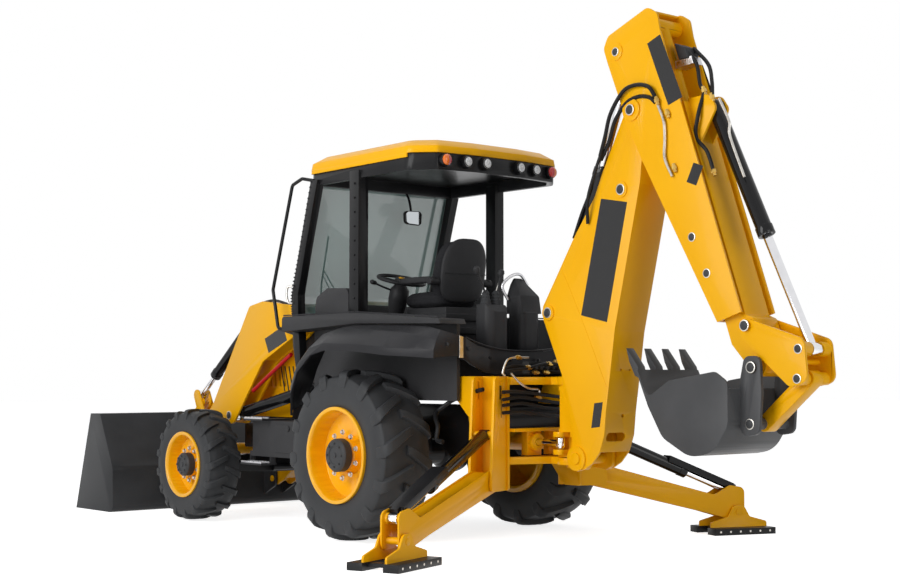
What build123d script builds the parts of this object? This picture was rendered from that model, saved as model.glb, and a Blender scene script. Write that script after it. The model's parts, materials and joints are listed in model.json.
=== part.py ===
"""Backhoe loader with an open canopy: a four-wheeled machine with a loading shovel in front and a
digging arm behind.  Lengths are millimetres.  x runs forward from the rear axle, y to the left and z up
from the ground; each piece is moved as it is written so that the middle of the machine is over the origin.
Outlines are rows of (x, z, corner radius) seen from the side or (x, y, corner radius) seen from above."""

import os
from math import cos, hypot, radians, tan

from build123d import *

os.makedirs("parts", exist_ok=True)

# ---------------------------------------------------------------- driving dimensions
wheelbase = 2170

rear_tyre_radius = 630
rear_tyre_width = 450
rear_wheel_y = 883
rear_bead_radius = 336

front_tyre_radius = 470
front_tyre_width = 312
front_wheel_y = 950
front_bead_radius = 256
kingpin_y = 760

rail_y = 350
rail_thickness = 20

# loader
arm_outer_y = 625
arm_inner_y = 455
arm_plate = 20
arm_pivot = (1180, 1690)
lift_base = (1060, 1110)
bonnet_hinge = (1175, 1780)
lift_eye = (2205, 872)
tilt_base = (1840, 1770)
tilt_eye = (2790, 1040)
lever_pivot = (2620, 700)
bucket_hinge = (3105, 240)
crank = (110, 275)  # the lever's link pin and the bucket's link pin stand off their hinges by the same step
lever_link = (lever_pivot[0] + crank[0], lever_pivot[1] + crank[1])
bucket_link = (bucket_hinge[0] + crank[0], bucket_hinge[1] + crank[1])
shovel_half_width = 1175
shovel_toe_x = 3940

# digging arm
swing_x = -1330
swing_lug_radius = 110
boom_foot = (-1532, 636)
boom_ram_base = (-1450, 950)
boom_ram_eye = (-1965, 2470)
dipper_ram_base = (-1255, 1656)
dipper_pivot = (-2085, 2994)
dipper_ram_eye = (-1945, 3412)
boom_half_width = 150
dipper_half_width = 172
side_plate_thickness = 15
dig_bucket_half_width = 305

# stabiliser legs
leg_hinge = (-1008, 543, 467)
leg_splay = 20
leg_reach = 1194
foot_pin_z = 166
leg_ram_top_z = 795

running_gap = 6
pin_gap = 0.5
sides = ((1, "left"), (-1, "right"))
pieces = {}


# ---------------------------------------------------------------- shared forms
def outline(rows):
    """A closed face from rows of (first, second, corner radius); an arc never outgrows its own edges."""
    corners = [Vector(row[0], row[1]) for row in rows]
    arcs = []
    for i, here in enumerate(corners):
        back = corners[i - 1] - here
        ahead = corners[(i + 1) % len(corners)] - here
        half_turn = radians(180 - back.get_angle(ahead)) / 2
        run = min(rows[i][2] * tan(half_turn), 0.48 * back.length, 0.48 * ahead.length)
        if run < 0.5:
            arcs.append((here, here, here))
            continue
        back, ahead = back.normalized(), ahead.normalized()
        radius = run / tan(half_turn)
        middle = here + (back + ahead).normalized() * (radius / cos(half_turn) - radius)
        arcs.append((here + back * run, middle, here + ahead * run))
    edges = []
    for i, (start, middle, end) in enumerate(arcs):
        if start != end:
            edges.append(Edge.make_three_point_arc(start, middle, end))
        edges.append(Edge.make_line(end, arcs[(i + 1) % len(arcs)][0]))
    return Face(Wire(edges))


def side_plate(rows, near, far):
    """An outline seen from the side, thick from y = near to y = far."""
    face = Plane.XZ * outline(rows)
    return Pos(0, near, 0) * extrude(face, far - near, dir=(0, 1, 0))


def floor_plate(rows, bottom, top):
    """An outline seen from above, thick from z = bottom to z = top."""
    return Pos(0, 0, bottom) * extrude(outline(rows), top - bottom, dir=(0, 0, 1))


def block(x0, x1, y0, y1, z0, z1):
    """A box between two corners."""
    size = (x1 - x0, y1 - y0, z1 - z0)
    return Pos(x0, y0, z0) * Box(*size, align=(Align.MIN, Align.MIN, Align.MIN))


def bar_y(x, z, radius, near, far):
    """A round bar or boss lying across the machine."""
    return Pos(x, (near + far) / 2, z) * Rot(90, 0, 0) * Cylinder(radius, abs(far - near))


def bar_z(x, y, radius, bottom, top):
    """A round bar standing upright."""
    return Pos(x, y, (bottom + top) / 2) * Cylinder(radius, top - bottom)


def bar(start, end, radius):
    """A round bar between two points in space."""
    start, end = Vector(*start), Vector(*end)
    return Solid.make_cylinder(radius, (end - start).length, Plane(origin=start, z_dir=end - start))


def strap(start, end, start_radius, end_radius, near, far):
    """A flat link seen from the side: two round ends joined by straight edges."""
    dx, dz = end[0] - start[0], end[1] - start[1]
    length = hypot(dx, dz)
    nx, nz = -dz / length, dx / length
    rows = [
        (start[0] + nx * start_radius, start[1] + nz * start_radius, 0),
        (end[0] + nx * end_radius, end[1] + nz * end_radius, 0),
        (end[0] - nx * end_radius, end[1] - nz * end_radius, 0),
        (start[0] - nx * start_radius, start[1] - nz * start_radius, 0),
    ]
    ends = bar_y(*start, start_radius, near, far) + bar_y(*end, end_radius, near, far)
    return ends + side_plate(rows, near, far)


def other_side(shape):
    """The same piece on the right of the machine."""
    return mirror(shape, Plane.XZ)


def both_sides(shape):
    """A piece and its mirror image."""
    return shape + other_side(shape)


def lying(radius, start, end):
    """A round bar along a ram's own x axis."""
    return Pos(start, 0, 0) * Rot(0, 90, 0) * Cylinder(radius, end - start, align=(Align.CENTER, Align.CENTER, Align.MIN))


def ram(base, eye, closed, barrel_radius, rod_radius, eye_radius, eye_width, pin_radius, pin_axis=(0, 1, 0)):
    """A hydraulic ram between two pins: the barrel with its bored base eye, and the rod with its eye.
    closed is the length between the pins with the rod fully in."""
    start, end = Vector(*base), Vector(*eye)
    rest = (end - start).length
    place = Plane(origin=start, x_dir=end - start, z_dir=Vector(*pin_axis)).location
    bore_start = eye_radius + 15
    mouth = closed - eye_radius - 10
    barrel = lying(barrel_radius, eye_radius * 0.7, mouth)
    barrel += lying(barrel_radius + 5, mouth - 60, mouth - 2)
    barrel += Cylinder(eye_radius, eye_width)
    barrel -= Cylinder(pin_radius + pin_gap, eye_width + barrel_radius * 2)
    barrel -= lying(rod_radius + 1, bore_start, mouth + 1)
    rod = lying(rod_radius, rest - closed + bore_start + 5, rest)
    rod += Pos(rest, 0, 0) * Cylinder(eye_radius, eye_width)
    return place * barrel, place * rod


def keep(name, *shapes):
    """Puts finished shapes down as one named piece."""
    whole = shapes[0]
    for shape in shapes[1:]:
        whole += shape
    pieces[name] = whole


# ---------------------------------------------------------------- wheels
def facet_ring(radius, y, facets):
    """A many-sided ring of the tyre, square to the axle at y."""
    return Plane(origin=(0, y, 0), x_dir=(1, 0, 0), z_dir=(0, 1, 0)) * RegularPolygon(radius, facets)


def tyre(radius, width, bead_radius, lug_count, lug_rise, lug_rows):
    """A tyre about the y axis with two rows of open lugs, out to their tips.  Its casing has two flats to a lug.
    lug_rows is the foot of one lug seen from outside: (along the tread, across it, corner radius)."""
    half = width / 2
    wall = radius - bead_radius
    facets = 2 * lug_count
    tread_radius = radius - lug_rise
    casing = [(half * 0.84, bead_radius + 4), (half - 8, bead_radius + wall * 0.6), (half * 0.8, tread_radius)]
    casing += [(-y, r) for y, r in reversed(casing)]
    carcass = Solid.make_loft([facet_ring(r, y, facets).wire() for y, r in casing], True)
    bore_radius = bead_radius / cos(radians(180 / facets))
    carcass -= extrude(facet_ring(bore_radius, -half, facets), width, dir=(0, 1, 0))
    tip = radius - 5
    lug_side = [(-half * 0.12, tread_radius * 0.9, 0), (-half * 0.12, tip, 0), (half * 0.8, tip, 0),
                (half, tip - lug_rise, 0), (half, tread_radius - wall * 0.25, 0)]
    lug = floor_plate(lug_rows, tread_radius * 0.85, tip)
    lug &= Pos(-half, 0, 0) * extrude(Plane.YZ * outline(lug_side), width, dir=(1, 0, 0))
    lugs = []
    for i in range(lug_count):
        lugs.append(Rot(0, i * 360 / lug_count, 0) * lug)
        lugs.append(Rot(0, (i + 0.5) * 360 / lug_count, 0) * other_side(lug))
    return carcass.fuse(*lugs)


def rim(bead_radius, width, dish, hub_radius):
    """A pressed steel rim about the y axis, its dish towards +y, with the hub that it is bolted to."""
    half = width * 0.42
    lip = width * 0.09
    r = bead_radius - pin_gap
    rows = [
        (r, half, 0),
        (r + 18, half + 4, 0),
        (r + 18, half + lip, 0),
        (r - 6, half + lip, 0),
        (r - 16, half + lip * 0.4, 0),
        (r - 20, dish + 18, 0),
        (hub_radius + 20, dish + 12, 0),
        (hub_radius + 20, dish, 0),
        (r - 34, dish, 0),
        (r - 30, -half - lip, 0),
        (r + 18, -half - lip, 0),
        (r + 18, -half - 4, 0),
        (r, -half, 0),
    ]
    disc = revolve(outline(rows), Axis.Y)
    hub_rows = [
        (0, dish - 10, 0),
        (hub_radius + 30, dish - 10, 0),
        (hub_radius + 30, dish, 0),
        (hub_radius + 20, dish, 0),
        (hub_radius, dish + 30, 0),
        (hub_radius, dish + 70, 0),
        (hub_radius - 20, dish + 90, 0),
        (0, dish + 90, 0),
    ]
    return disc + revolve(outline(hub_rows), Axis.Y)


rear_dish, front_dish = 60, 20
rear_hub_radius, front_hub_radius = 120, 95
rear_lug = [(90, -24, 0), (22, -24, 0), (-112, 230, 0), (-40, 230, 0)]
front_lug = [(52, -16, 0), (4, -16, 0), (-50, 160, 0), (-6, 160, 0)]
rear_tyre = tyre(rear_tyre_radius, rear_tyre_width, rear_bead_radius, 14, 36, rear_lug)
front_tyre = tyre(front_tyre_radius, front_tyre_width, front_bead_radius, 16, 26, front_lug)
rear_rim = rim(rear_bead_radius, rear_tyre_width, rear_dish, rear_hub_radius)
front_rim = rim(front_bead_radius, front_tyre_width, front_dish, front_hub_radius)
for end, x, y, radius, tyre_shape, rim_shape in (
    ("rear", 0, rear_wheel_y, rear_tyre_radius, rear_tyre, rear_rim),
    ("front", wheelbase, front_wheel_y, front_tyre_radius, front_tyre, front_rim),
):
    place = Pos(x, y, radius)
    for name, shape in (("tyre", tyre_shape), ("rim", rim_shape)):
        keep(f"{name}_{end}_left", place * shape)
        keep(f"{name}_{end}_right", other_side(place * shape))

# ---------------------------------------------------------------- axles
axle_gap = 8
rear_flange_y = rear_wheel_y + rear_dish - 10 - axle_gap
rear_half_axle = bar_y(0, rear_tyre_radius, 95, 0, rear_flange_y - 130)
rear_half_axle += bar_y(0, rear_tyre_radius, 125, rear_flange_y - 130, rear_flange_y)
rear_saddle = block(-130, 130, rail_y - 60, rail_y + 40, rear_tyre_radius, 790)
rear_axle = both_sides(rear_half_axle + rear_saddle) + Pos(0, 0, rear_tyre_radius) * Sphere(165)
keep("rear_axle", rear_axle)

knuckle_top, knuckle_bottom = front_tyre_radius + 120, front_tyre_radius - 120
beam_rows = [
    (kingpin_y - 40, 60, 20), (kingpin_y + 45, 60, 0), (kingpin_y + 45, -60, 0), (kingpin_y - 40, -60, 20),
    (250, -90, 60), (-250, -90, 60), (-kingpin_y + 40, -60, 20), (-kingpin_y - 45, -60, 0),
    (-kingpin_y - 45, 60, 0), (-kingpin_y + 40, 60, 20), (-250, 75, 60), (250, 75, 60),
]
beam = Plane.YZ * outline(beam_rows)
beam = Pos(wheelbase - 60, 0, front_tyre_radius) * extrude(beam, 120, dir=(1, 0, 0))
beam_plan = [(60, kingpin_y - 100, 0), (42, kingpin_y - 40, 20), (42, kingpin_y + 45, 30), (-42, kingpin_y + 45, 30),
             (-42, kingpin_y - 40, 20), (-60, kingpin_y - 100, 0), (-60, 0, 0), (60, 0, 0)]
beam &= Pos(wheelbase, 0, 0) * both_sides(floor_plate(beam_plan, 300, 700))
for hand, _ in sides:
    beam -= bar_z(wheelbase, hand * kingpin_y, 30 + pin_gap, front_tyre_radius - 200, front_tyre_radius + 200)
beam += block(wheelbase - 110, wheelbase + 110, -60, 60, front_tyre_radius + 70, 590)
beam += bar((wheelbase - 80, 250, 420), (wheelbase - 80, -250, 420), 30)
keep("front_axle", beam)

front_flange_y = front_wheel_y + front_dish - 10 - axle_gap
knuckle = bar_z(wheelbase, kingpin_y, 30, knuckle_bottom, knuckle_top)
for low, high in ((knuckle_bottom, front_tyre_radius - 60 - 5), (front_tyre_radius + 60 + 5, knuckle_top)):
    knuckle += floor_plate(
        [(wheelbase - 45, kingpin_y - 45, 20), (wheelbase + 45, kingpin_y - 45, 20),
         (wheelbase + 45, kingpin_y + 110, 0), (wheelbase - 45, kingpin_y + 110, 0)], low, high)
knuckle += block(wheelbase - 45, wheelbase + 45, kingpin_y + 80, kingpin_y + 110, knuckle_bottom, knuckle_top)
knuckle += bar_y(wheelbase, front_tyre_radius, 70, kingpin_y + 110, front_flange_y)
keep("knuckle_left", knuckle)
keep("knuckle_right", other_side(knuckle))

# ---------------------------------------------------------------- main frame, with the loader towers
rail = side_plate(
    [(-960, 600, 0), (-960, 1000, 20), (240, 1000, 40), (430, 860, 40), (1000, 830, 0), (2380, 800, 20),
     (2380, 590, 20), (420, 590, 60), (230, 790, 40), (-230, 790, 40), (-420, 600, 60)],
    rail_y - rail_thickness, rail_y)
tower_outer_y = arm_inner_y - running_gap
tower = side_plate(
    [(990, 600, 40), (1075, 1690, 0), (1100, 1800, 60), (1290, 1800, 60), (1340, 1690, 0), (1560, 600, 40)],
    rail_y, tower_outer_y)
tower -= side_plate(
    [(1090, 900, 40), (1120, 1400, 40), (1285, 1400, 40), (1390, 900, 40)], rail_y - 1, tower_outer_y - 20)
tower += bar_y(*arm_pivot, 35, tower_outer_y, arm_outer_y + 12)
lift_bracket = side_plate(
    [(1010, 1010, 30), (1010, 1200, 30), (1130, 1200, 30), (1130, 1010, 30)], tower_outer_y, tower_outer_y + 30)
tower += lift_bracket + bar_y(*lift_base, 28, tower_outer_y, 590)
tower += bar_y(*bonnet_hinge, 12, 296, rail_y + 1)
frame_side = rail + tower
cross = block(2330, 2380, -rail_y, rail_y, 600, 790)
for x0, x1, z0, z1 in ((1180, 1300, 640, 760), (420, 520, 620, 740), (-940, -900, 830, 980), (2060, 2280, 595, 640)):
    cross += block(x0, x1, -rail_y + 1, rail_y - 1, z0, z1)
keep("main_frame", both_sides(frame_side), cross)

keep("engine", block(1330, 2180, -230, 230, 660, 1330))

# ---------------------------------------------------------------- rear frame, which carries kingpost and legs
rear_frame = both_sides(
    side_plate(
        [(-1060, 400, 20), (-1060, 1205, 20), (-700, 1205, 20), (-620, 1000, 30), (-700, 620, 60), (-900, 400, 40)],
        rail_y, rail_y + 20))
rear_frame += block(-1060, -1010, -rail_y - 1, rail_y + 1, 1146, 1200)
rear_frame += block(-1060, -1010, -rail_y - 1, rail_y + 1, 582, 632)
rear_frame += block(-1110, -1010, -rail_y - 1, rail_y + 1, 812, 835)
neck = 45
fork_rows = [
    (-1010, rail_y, 0), (-1060, rail_y, 30), (-1150, 120, 40), (-1170, neck, 0), (swing_x, neck, 0),
    (swing_x, -neck, 0), (-1170, -neck, 0), (-1150, -120, 40), (-1060, -rail_y, 30), (-1010, -rail_y, 0),
]
swing_pin_radius = 38
for bottom, top, eye_radius in ((1146, 1200, 100), (582, 632, 100)):
    rear_frame += floor_plate(fork_rows, bottom, top) + bar_z(swing_x, 0, eye_radius, bottom, top)
rear_frame += bar_z(swing_x, 0, swing_pin_radius, 560, 1212)
keep("rear_frame", rear_frame)

# ---------------------------------------------------------------- platform and fenders
floor_z = 1030
deck_z = 1370
cab_half = 620
sill_outer_y = 860
sill_top_z = 1680
platform = block(-250, 950, -cab_half, cab_half, floor_z, floor_z + 40)
platform += both_sides(block(-800, 950, cab_half - 30, cab_half, floor_z, 1600))
platform += block(-770, -250, -cab_half + 30, cab_half - 30, deck_z - 40, deck_z)
platform += block(-290, -250, -cab_half + 30, cab_half - 30, floor_z, deck_z - 40)
sill_rows = [(-900, 1575, 0), (-880, 1612, 20), (-315, 1652, 0), (90, sill_top_z, 0), (1060, sill_top_z, 30),
             (1060, 1560, 0), (90, 1600, 0), (-315, 1590, 0)]
platform += both_sides(side_plate(sill_rows, cab_half - 1, sill_outer_y))
upstand_rows = [(322, 1640, 0), (322, 1880, 60), (600, 1892, 60), (746, 1822, 60), (760, 1700, 60), (700, 1640, 0)]
platform += both_sides(side_plate(upstand_rows, cab_half, cab_half + 130))
dash_rows = [(840, floor_z + 39, 0), (840, 1700, 40), (870, 1790, 30), (950, 1790, 20), (950, floor_z + 39, 0)]
platform += side_plate(dash_rows, -460, 460)
platform += block(945, 1045, -665, 665, sill_top_z - 20, sill_top_z + 20)
keep("platform", platform)

fender_wall = 22
fender_lip = 55
fender_rows = (
    # x, height at the sill, shoulder y and height, lip y and height
    (715, 1010, 930, 1000, 1010, 960),
    (570, 1290, 1010, 1240, 1110, 1130),
    (430, 1480, 1040, 1420, 1150, 1290),
    (260, 1560, 1030, 1520, 1150, 1417),
    (90, 1590, 1010, 1560, 1150, 1450),
    (-300, 1580, 1000, 1545, 1140, 1436),
    (-560, 1570, 965, 1520, 1085, 1408),
    (-780, 1555, 930, 1490, 985, 1395),
    (-905, 1530, 900, 1460, 925, 1385),
)


def fender_section(x, sill_z, shoulder_y, shoulder_z, lip_y, lip_z):
    """The closed outline of the fender's wall at one x, from the sill out over the shoulder and down the lip."""
    inner_y = lip_y - fender_wall
    corners = [
        (sill_outer_y, sill_z), (shoulder_y, shoulder_z), (lip_y, lip_z), (lip_y, lip_z - fender_lip),
        (inner_y, lip_z - fender_lip), (inner_y, lip_z - fender_wall * 0.6),
        (shoulder_y - fender_wall * 0.5, shoulder_z - fender_wall), (sill_outer_y, sill_z - fender_wall),
    ]
    return Wire.make_polygon([Vector(x, y, z) for y, z in corners])


fender = Solid.make_loft([fender_section(*row) for row in fender_rows], True)
apron_plan = [(-905, cab_half, 0), (-905, 925, 0), (-880, 925, 0), (-880, 640, 100), (-801, 330, 200), (-776, 0, 0),
              (-801, 0, 0), (-826, 330, 200), (-905, 630, 100)]
apron_face = [(0, 1385, 0), (230, 1392, 200), (480, 1425, 200), (660, 1487, 60), (860, 1530, 0), (925, 1385, 0),
              (925, 1335, 0), (680, 1350, 60), (540, 1285, 120), (380, 1235, 200), (180, 1218, 0), (0, 1216, 0)]
apron = floor_plate(apron_plan, 1200, 1600)
apron &= Pos(-1000, 0, 0) * extrude(Plane.YZ * outline(apron_face), 300, dir=(1, 0, 0))
keep("fenders", both_sides(fender), both_sides(apron))


# ---------------------------------------------------------------- canopy: posts, roof frame, roof and lamps
def tube(points, radius, bend):
    """A bent round tube along points in space, with arcs of one bend radius at its corners."""
    points = [Vector(*point) for point in points]
    edges = []
    start = points[0]
    for i in range(1, len(points) - 1):
        back = (points[i - 1] - points[i]).normalized()
        ahead = (points[i + 1] - points[i]).normalized()
        half_turn = radians(180 - back.get_angle(ahead)) / 2
        run = bend * tan(half_turn)
        middle = points[i] + (back + ahead).normalized() * (bend / cos(half_turn) - bend)
        edges.append(Edge.make_line(start, points[i] + back * run))
        edges.append(Edge.make_three_point_arc(points[i] + back * run, middle, points[i] + ahead * run))
        start = points[i] + ahead * run
    edges.append(Edge.make_line(start, points[-1]))
    return sweep(Plane(origin=points[0], z_dir=points[1] - points[0]) * Circle(radius), path=Wire(edges))


def roof_outline(size):
    """The canopy's plan, drawn in towards its middle by size: (x, y, corner radius)."""
    rows = [(950, 540, 90), (900, 720, 90), (-400, 750, 120), (-560, 600, 60), (-610, 250, 100)]
    rows = rows + [(x, -y, radius) for x, y, radius in reversed(rows)]
    middle = 170
    return [(middle + (x - middle) * size, y * size, radius * size) for x, y, radius in rows]


fascia_bottom, fascia_top = 2720, 2843
roof_bottom = fascia_top + 2
canopy = floor_plate(roof_outline(0.985), fascia_bottom, fascia_top)
canopy -= floor_plate(roof_outline(0.93), fascia_bottom - 1, fascia_top - 35)
canopy += both_sides(block(200, 315, 655, 748, sill_top_z, fascia_bottom + 60))
front_post_rows = [(1000, 1600, 0), (1012, 1860, 60), (908, 2235, 60), (750, 2760, 0), (840, 2760, 0),
                   (985, 2242, 60), (1100, 1855, 80), (1072, 1447, 60), (1030, 1262, 0), (965, 1262, 0)]
front_post = side_plate(front_post_rows, 672, 742) - side_plate(sill_rows, 600, sill_outer_y)
canopy += both_sides(front_post)
canopy += block(780, 860, -700, 700, fascia_bottom, fascia_top - 30)
mirror_arm = [(830, 720, 2760), (945, 752, 2784), (1081, 752, 2744), (1237, 752, 2257), (1351, 752, 1911),
              (1272, 752, 1597), (1060, 712, 1540)]
canopy += both_sides(tube(mirror_arm, 14, 40))

lamp_radius, lamp_z, lamp_gap = 46, 2790, 1
lamp_rows = (
    # x of the seat, y, which way the lamp faces
    (-578, 172, -1), (-565, 349, -1), (-545, 537, -1), (910, 260, 1), (905, 470, 1),
)
lamps = None
for seat_x, y, facing in lamp_rows:
    pocket = Pos(seat_x, y, lamp_z) * Rot(0, 90 * facing, 0) * Cylinder(
        lamp_radius + lamp_gap, 100, align=(Align.CENTER, Align.CENTER, Align.MIN))
    canopy -= both_sides(pocket)
    lamp = lying(lamp_radius, 0, 48) + lying(lamp_radius - 8, 47, 58)
    lamp = Pos(seat_x, y, lamp_z) * Rot(0, 0, 0 if facing > 0 else 180) * lamp
    lamps = lamp if lamps is None else lamps + lamp
keep("canopy_frame", canopy)
keep("work_lamps", both_sides(lamps))

roof_levels = ((roof_bottom, 1.0), (roof_bottom + 50, 0.99), (roof_bottom + 105, 0.88), (roof_bottom + 130, 0.6))
roof = Solid.make_loft([(Pos(0, 0, z) * outline(roof_outline(size))).outer_wire() for z, size in roof_levels], True)
skirt = floor_plate(roof_outline(1.0), roof_bottom - 32, roof_bottom + 1)
skirt -= floor_plate(roof_outline(0.988), roof_bottom - 33, roof_bottom + 2)
roof += skirt & block(-380, 885, -900, 900, 2700, 3000)
keep("roof", roof)

glass_rows = [(1056, sill_top_z + 20, 0), (1090, 1855, 60), (976, 2240, 60), (838, fascia_bottom, 0),
              (832, fascia_bottom, 0), (970, 2239, 60), (1084, 1855, 60), (1050, sill_top_z + 20, 0)]
keep("windscreen", side_plate(glass_rows, -665, 665))

# ---------------------------------------------------------------- seat, steering column and backhoe controls
seat_top = 1850
cushion = side_plate([(-120, 1735, 30), (-120, seat_top, 40), (330, seat_top + 15, 70), (360, 1770, 50),
                      (330, 1735, 20)], -235, 235)
back = side_plate([(-60, seat_top - 40, 30), (-165, seat_top - 40, 40), (-205, 2235, 60), (-120, 2250, 60),
                   (-50, 2000, 80)], -225, 225)
back_face = [(150, 2260, 70), (215, 2000, 90), (215, seat_top - 60, 40), (-215, seat_top - 60, 40), (-215, 2000, 90),
             (-150, 2260, 70)]
back &= Pos(-400, 0, 0) * extrude(Plane.YZ * outline(back_face), 600, dir=(1, 0, 0))
arm_rest = side_plate([(-150, 1900, 30), (-150, 1965, 30), (260, 1975, 30), (275, 1935, 20), (100, 1915, 60)], 262, 316)
arm_rest += bar_y(-115, 1932, 30, 180, 300)
keep("seat", cushion + back + both_sides(arm_rest))
seat_base = block(-180, 260, -200, 200, floor_z + 40, 1480)
for i in range(5):
    fold = 6 + 10 * (i % 2)
    seat_base += block(-190 - fold, 270 + fold, -205 - fold, 205 + fold, 1479 + 51 * i, 1531 + 51 * i)
keep("seat_base", seat_base)

column = bar((760, 0, floor_z + 60), (630, 0, 1900), 60) + block(690, 830, -80, 80, floor_z + 41, floor_z + 80)
wheel_place = Plane(origin=(612, 0, 1985), z_dir=(-150, 0, 560)).location
hand_wheel = wheel_place * (Torus(190, 14) + Cylinder(45, 40) + Box(372, 34, 12) + Pos(-95, 0, 0) * Box(190, 34, 12))
column += bar((630, 0, 1899), (614, 0, 1980), 34)
keep("steering_column", column + hand_wheel)

tower_x, tower_y, tower_top = -665, 165, 1735
console_plan = [(tower_x - 90, tower_y - 100, 50), (tower_x - 90, tower_y + 100, 70), (tower_x + 90, tower_y + 100, 50),
                (tower_x + 90, tower_y - 100, 50)]
console_side = [(tower_x - 91, deck_z, 0), (tower_x - 91, tower_top - 55, 0), (tower_x - 40, tower_top, 30),
                (tower_x + 91, tower_top, 0), (tower_x + 91, deck_z, 0)]
console = floor_plate(console_plan, deck_z, tower_top) & side_plate(console_side, 0, 400)
controls = both_sides(console)
cowl = [(tower_x - 85, tower_top - 60, 0), (tower_x - 60, 1810, 20), (tower_x + 70, 1965, 40), (tower_x + 89, 1900, 30),
        (tower_x + 89, tower_top - 60, 0)]
cowl_face = [(-tower_y - 98, tower_top - 60, 0), (-tower_y - 98, 1800, 40), (-tower_y - 10, 1970, 40),
             (-tower_y + 30, 1970, 40), (-tower_y + 98, 1800, 40), (-tower_y + 98, tower_top - 60, 0)]
controls += side_plate(cowl, -tower_y - 98, -tower_y + 98) & (
    Pos(-900, 0, 0) * extrude(Plane.YZ * outline(cowl_face), 400, dir=(1, 0, 0)))
for foot_x, foot_y, knob_x, knob_y, knob_z in (
    (tower_x, 215, tower_x - 20, 330, 1985), (tower_x, 115, tower_x + 10, 60, 1975)):
    controls += Pos(foot_x, foot_y, tower_top - 1) * Cone(36, 14, 80, align=(Align.CENTER, Align.CENTER, Align.MIN))
    controls += bar((foot_x, foot_y, tower_top + 60), (knob_x, knob_y, knob_z), 8) + Pos(knob_x, knob_y, knob_z) * Sphere(24)
keep("backhoe_controls", controls)

# ---------------------------------------------------------------- tanks with the steps up to the cab
tank = block(700, 1500, 470, 840, 560, 850) + block(1230, 1500, 600, 930, 849, 864)
for x in (1240, 1530):
    tank += block(x, x + 10, 790, 840, 495, 600)
tank += block(1240, 1540, 780, 930, 495, 510) + block(1500, 1540, 790, 840, 560, 600)
keep("side_tanks", both_sides(tank))

# ---------------------------------------------------------------- bonnet
bonnet_half, bonnet_wall, nose_x = 340, 15, 2440
bonnet_rows = [(1120, 860, 0), (1120, 1850, 60), (2300, 1640, 120), (nose_x, 1500, 80), (nose_x, 860, 20)]
bonnet_inner = [(1110, 850, 0), (1110, 1835, 60), (2290, 1622, 120), (nose_x - 20, 1490, 80), (nose_x - 20, 850, 0)]
bonnet = side_plate(bonnet_rows, -bonnet_half, bonnet_half)
bonnet -= side_plate(bonnet_inner, -bonnet_half + bonnet_wall, bonnet_half - bonnet_wall)
for i in range(9):
    bonnet -= block(nose_x - 40, nose_x + 10, -215, 215, 930 + 44 * i, 952 + 44 * i)
for i in range(7):
    x = 1760 + 70 * i
    louvre = side_plate([(x, 1120, 0), (x + 24, 1120, 0), (x + 64, 1330, 0), (x + 40, 1330, 0)],
                        bonnet_half - 30, bonnet_half + 10)
    bonnet -= both_sides(louvre)
head_lamp = block(nose_x - 40, nose_x + 10, 225, 315, 1350, 1440)
bonnet -= both_sides(head_lamp)
hinge_tube = bar_y(*bonnet_hinge, 22, 292, bonnet_half - 1) - bar_y(*bonnet_hinge, 12 + pin_gap, 291, bonnet_half)
bonnet -= both_sides(bar_y(*bonnet_hinge, 21, 291, bonnet_half + 1))
bonnet += both_sides(hinge_tube)
keep("bonnet", bonnet)

# ---------------------------------------------------------------- loader arms
arm_rows = [
    (1080, 1640, 60), (1110, 1790, 70), (1300, 1790, 0), (1700, 1835, 60), (1900, 1800, 60), (2470, 960, 60),
    (2700, 770, 60), (2950, 490, 40), (3180, 300, 70), (3120, 160, 70), (2960, 230, 30), (2720, 420, 60),
    (2615, 650, 60), (2500, 815, 50), (2140, 800, 60), (1870, 1120, 40), (1690, 1330, 60), (1260, 1520, 30),
]
arm = side_plate(arm_rows, arm_inner_y, arm_inner_y + arm_plate)
arm += side_plate(arm_rows, arm_outer_y - arm_plate, arm_outer_y)
for rows in (
    [(1110, 1790, 0), (1300, 1790, 0), (1700, 1835, 0), (1700, 1815, 0), (1300, 1770, 0), (1110, 1770, 0)],
    [(1270, 1520, 0), (1690, 1340, 0), (1690, 1360, 0), (1270, 1540, 0)],
    [(2692, 480, 0), (2730, 430, 0), (2950, 250, 0), (2965, 265, 0), (2745, 440, 0), (2706, 492, 0)],
):
    arm += side_plate(rows, arm_inner_y, arm_outer_y)
arm -= bar_y(*arm_pivot, 35 + pin_gap, 400, 700)
arm += bar_y(*tilt_base, 25, arm_inner_y, arm_outer_y)
arm += bar_y(*lever_pivot, 28, arm_inner_y, arm_outer_y)
arm += bar_y(*bucket_hinge, 28, arm_inner_y - 36, arm_outer_y + 36)
arms = both_sides(arm) + bar_y(2640, 560, 50, -arm_inner_y - 1, arm_inner_y + 1)
keep("loader_arms", arms)

lift_centre = (arm_inner_y + arm_outer_y) / 2
lift_barrel, lift_rod = ram((lift_base[0], lift_centre, lift_base[1]), (lift_eye[0], lift_centre, lift_eye[1]),
                            1120, 52, 28, 45, 60, 28)
keep("lift_ram_barrels", lift_barrel, other_side(lift_barrel))
keep("lift_ram_rods", lift_rod, other_side(lift_rod))

tilt_centre = lift_centre
tilt_barrel, tilt_rod = ram((tilt_base[0], tilt_centre, tilt_base[1]), (tilt_eye[0], tilt_centre, tilt_eye[1]),
                            970, 45, 22, 40, 40, 25)
keep("tilt_ram_barrels", tilt_barrel, other_side(tilt_barrel))
keep("tilt_ram_rods", tilt_rod, other_side(tilt_rod))

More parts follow.
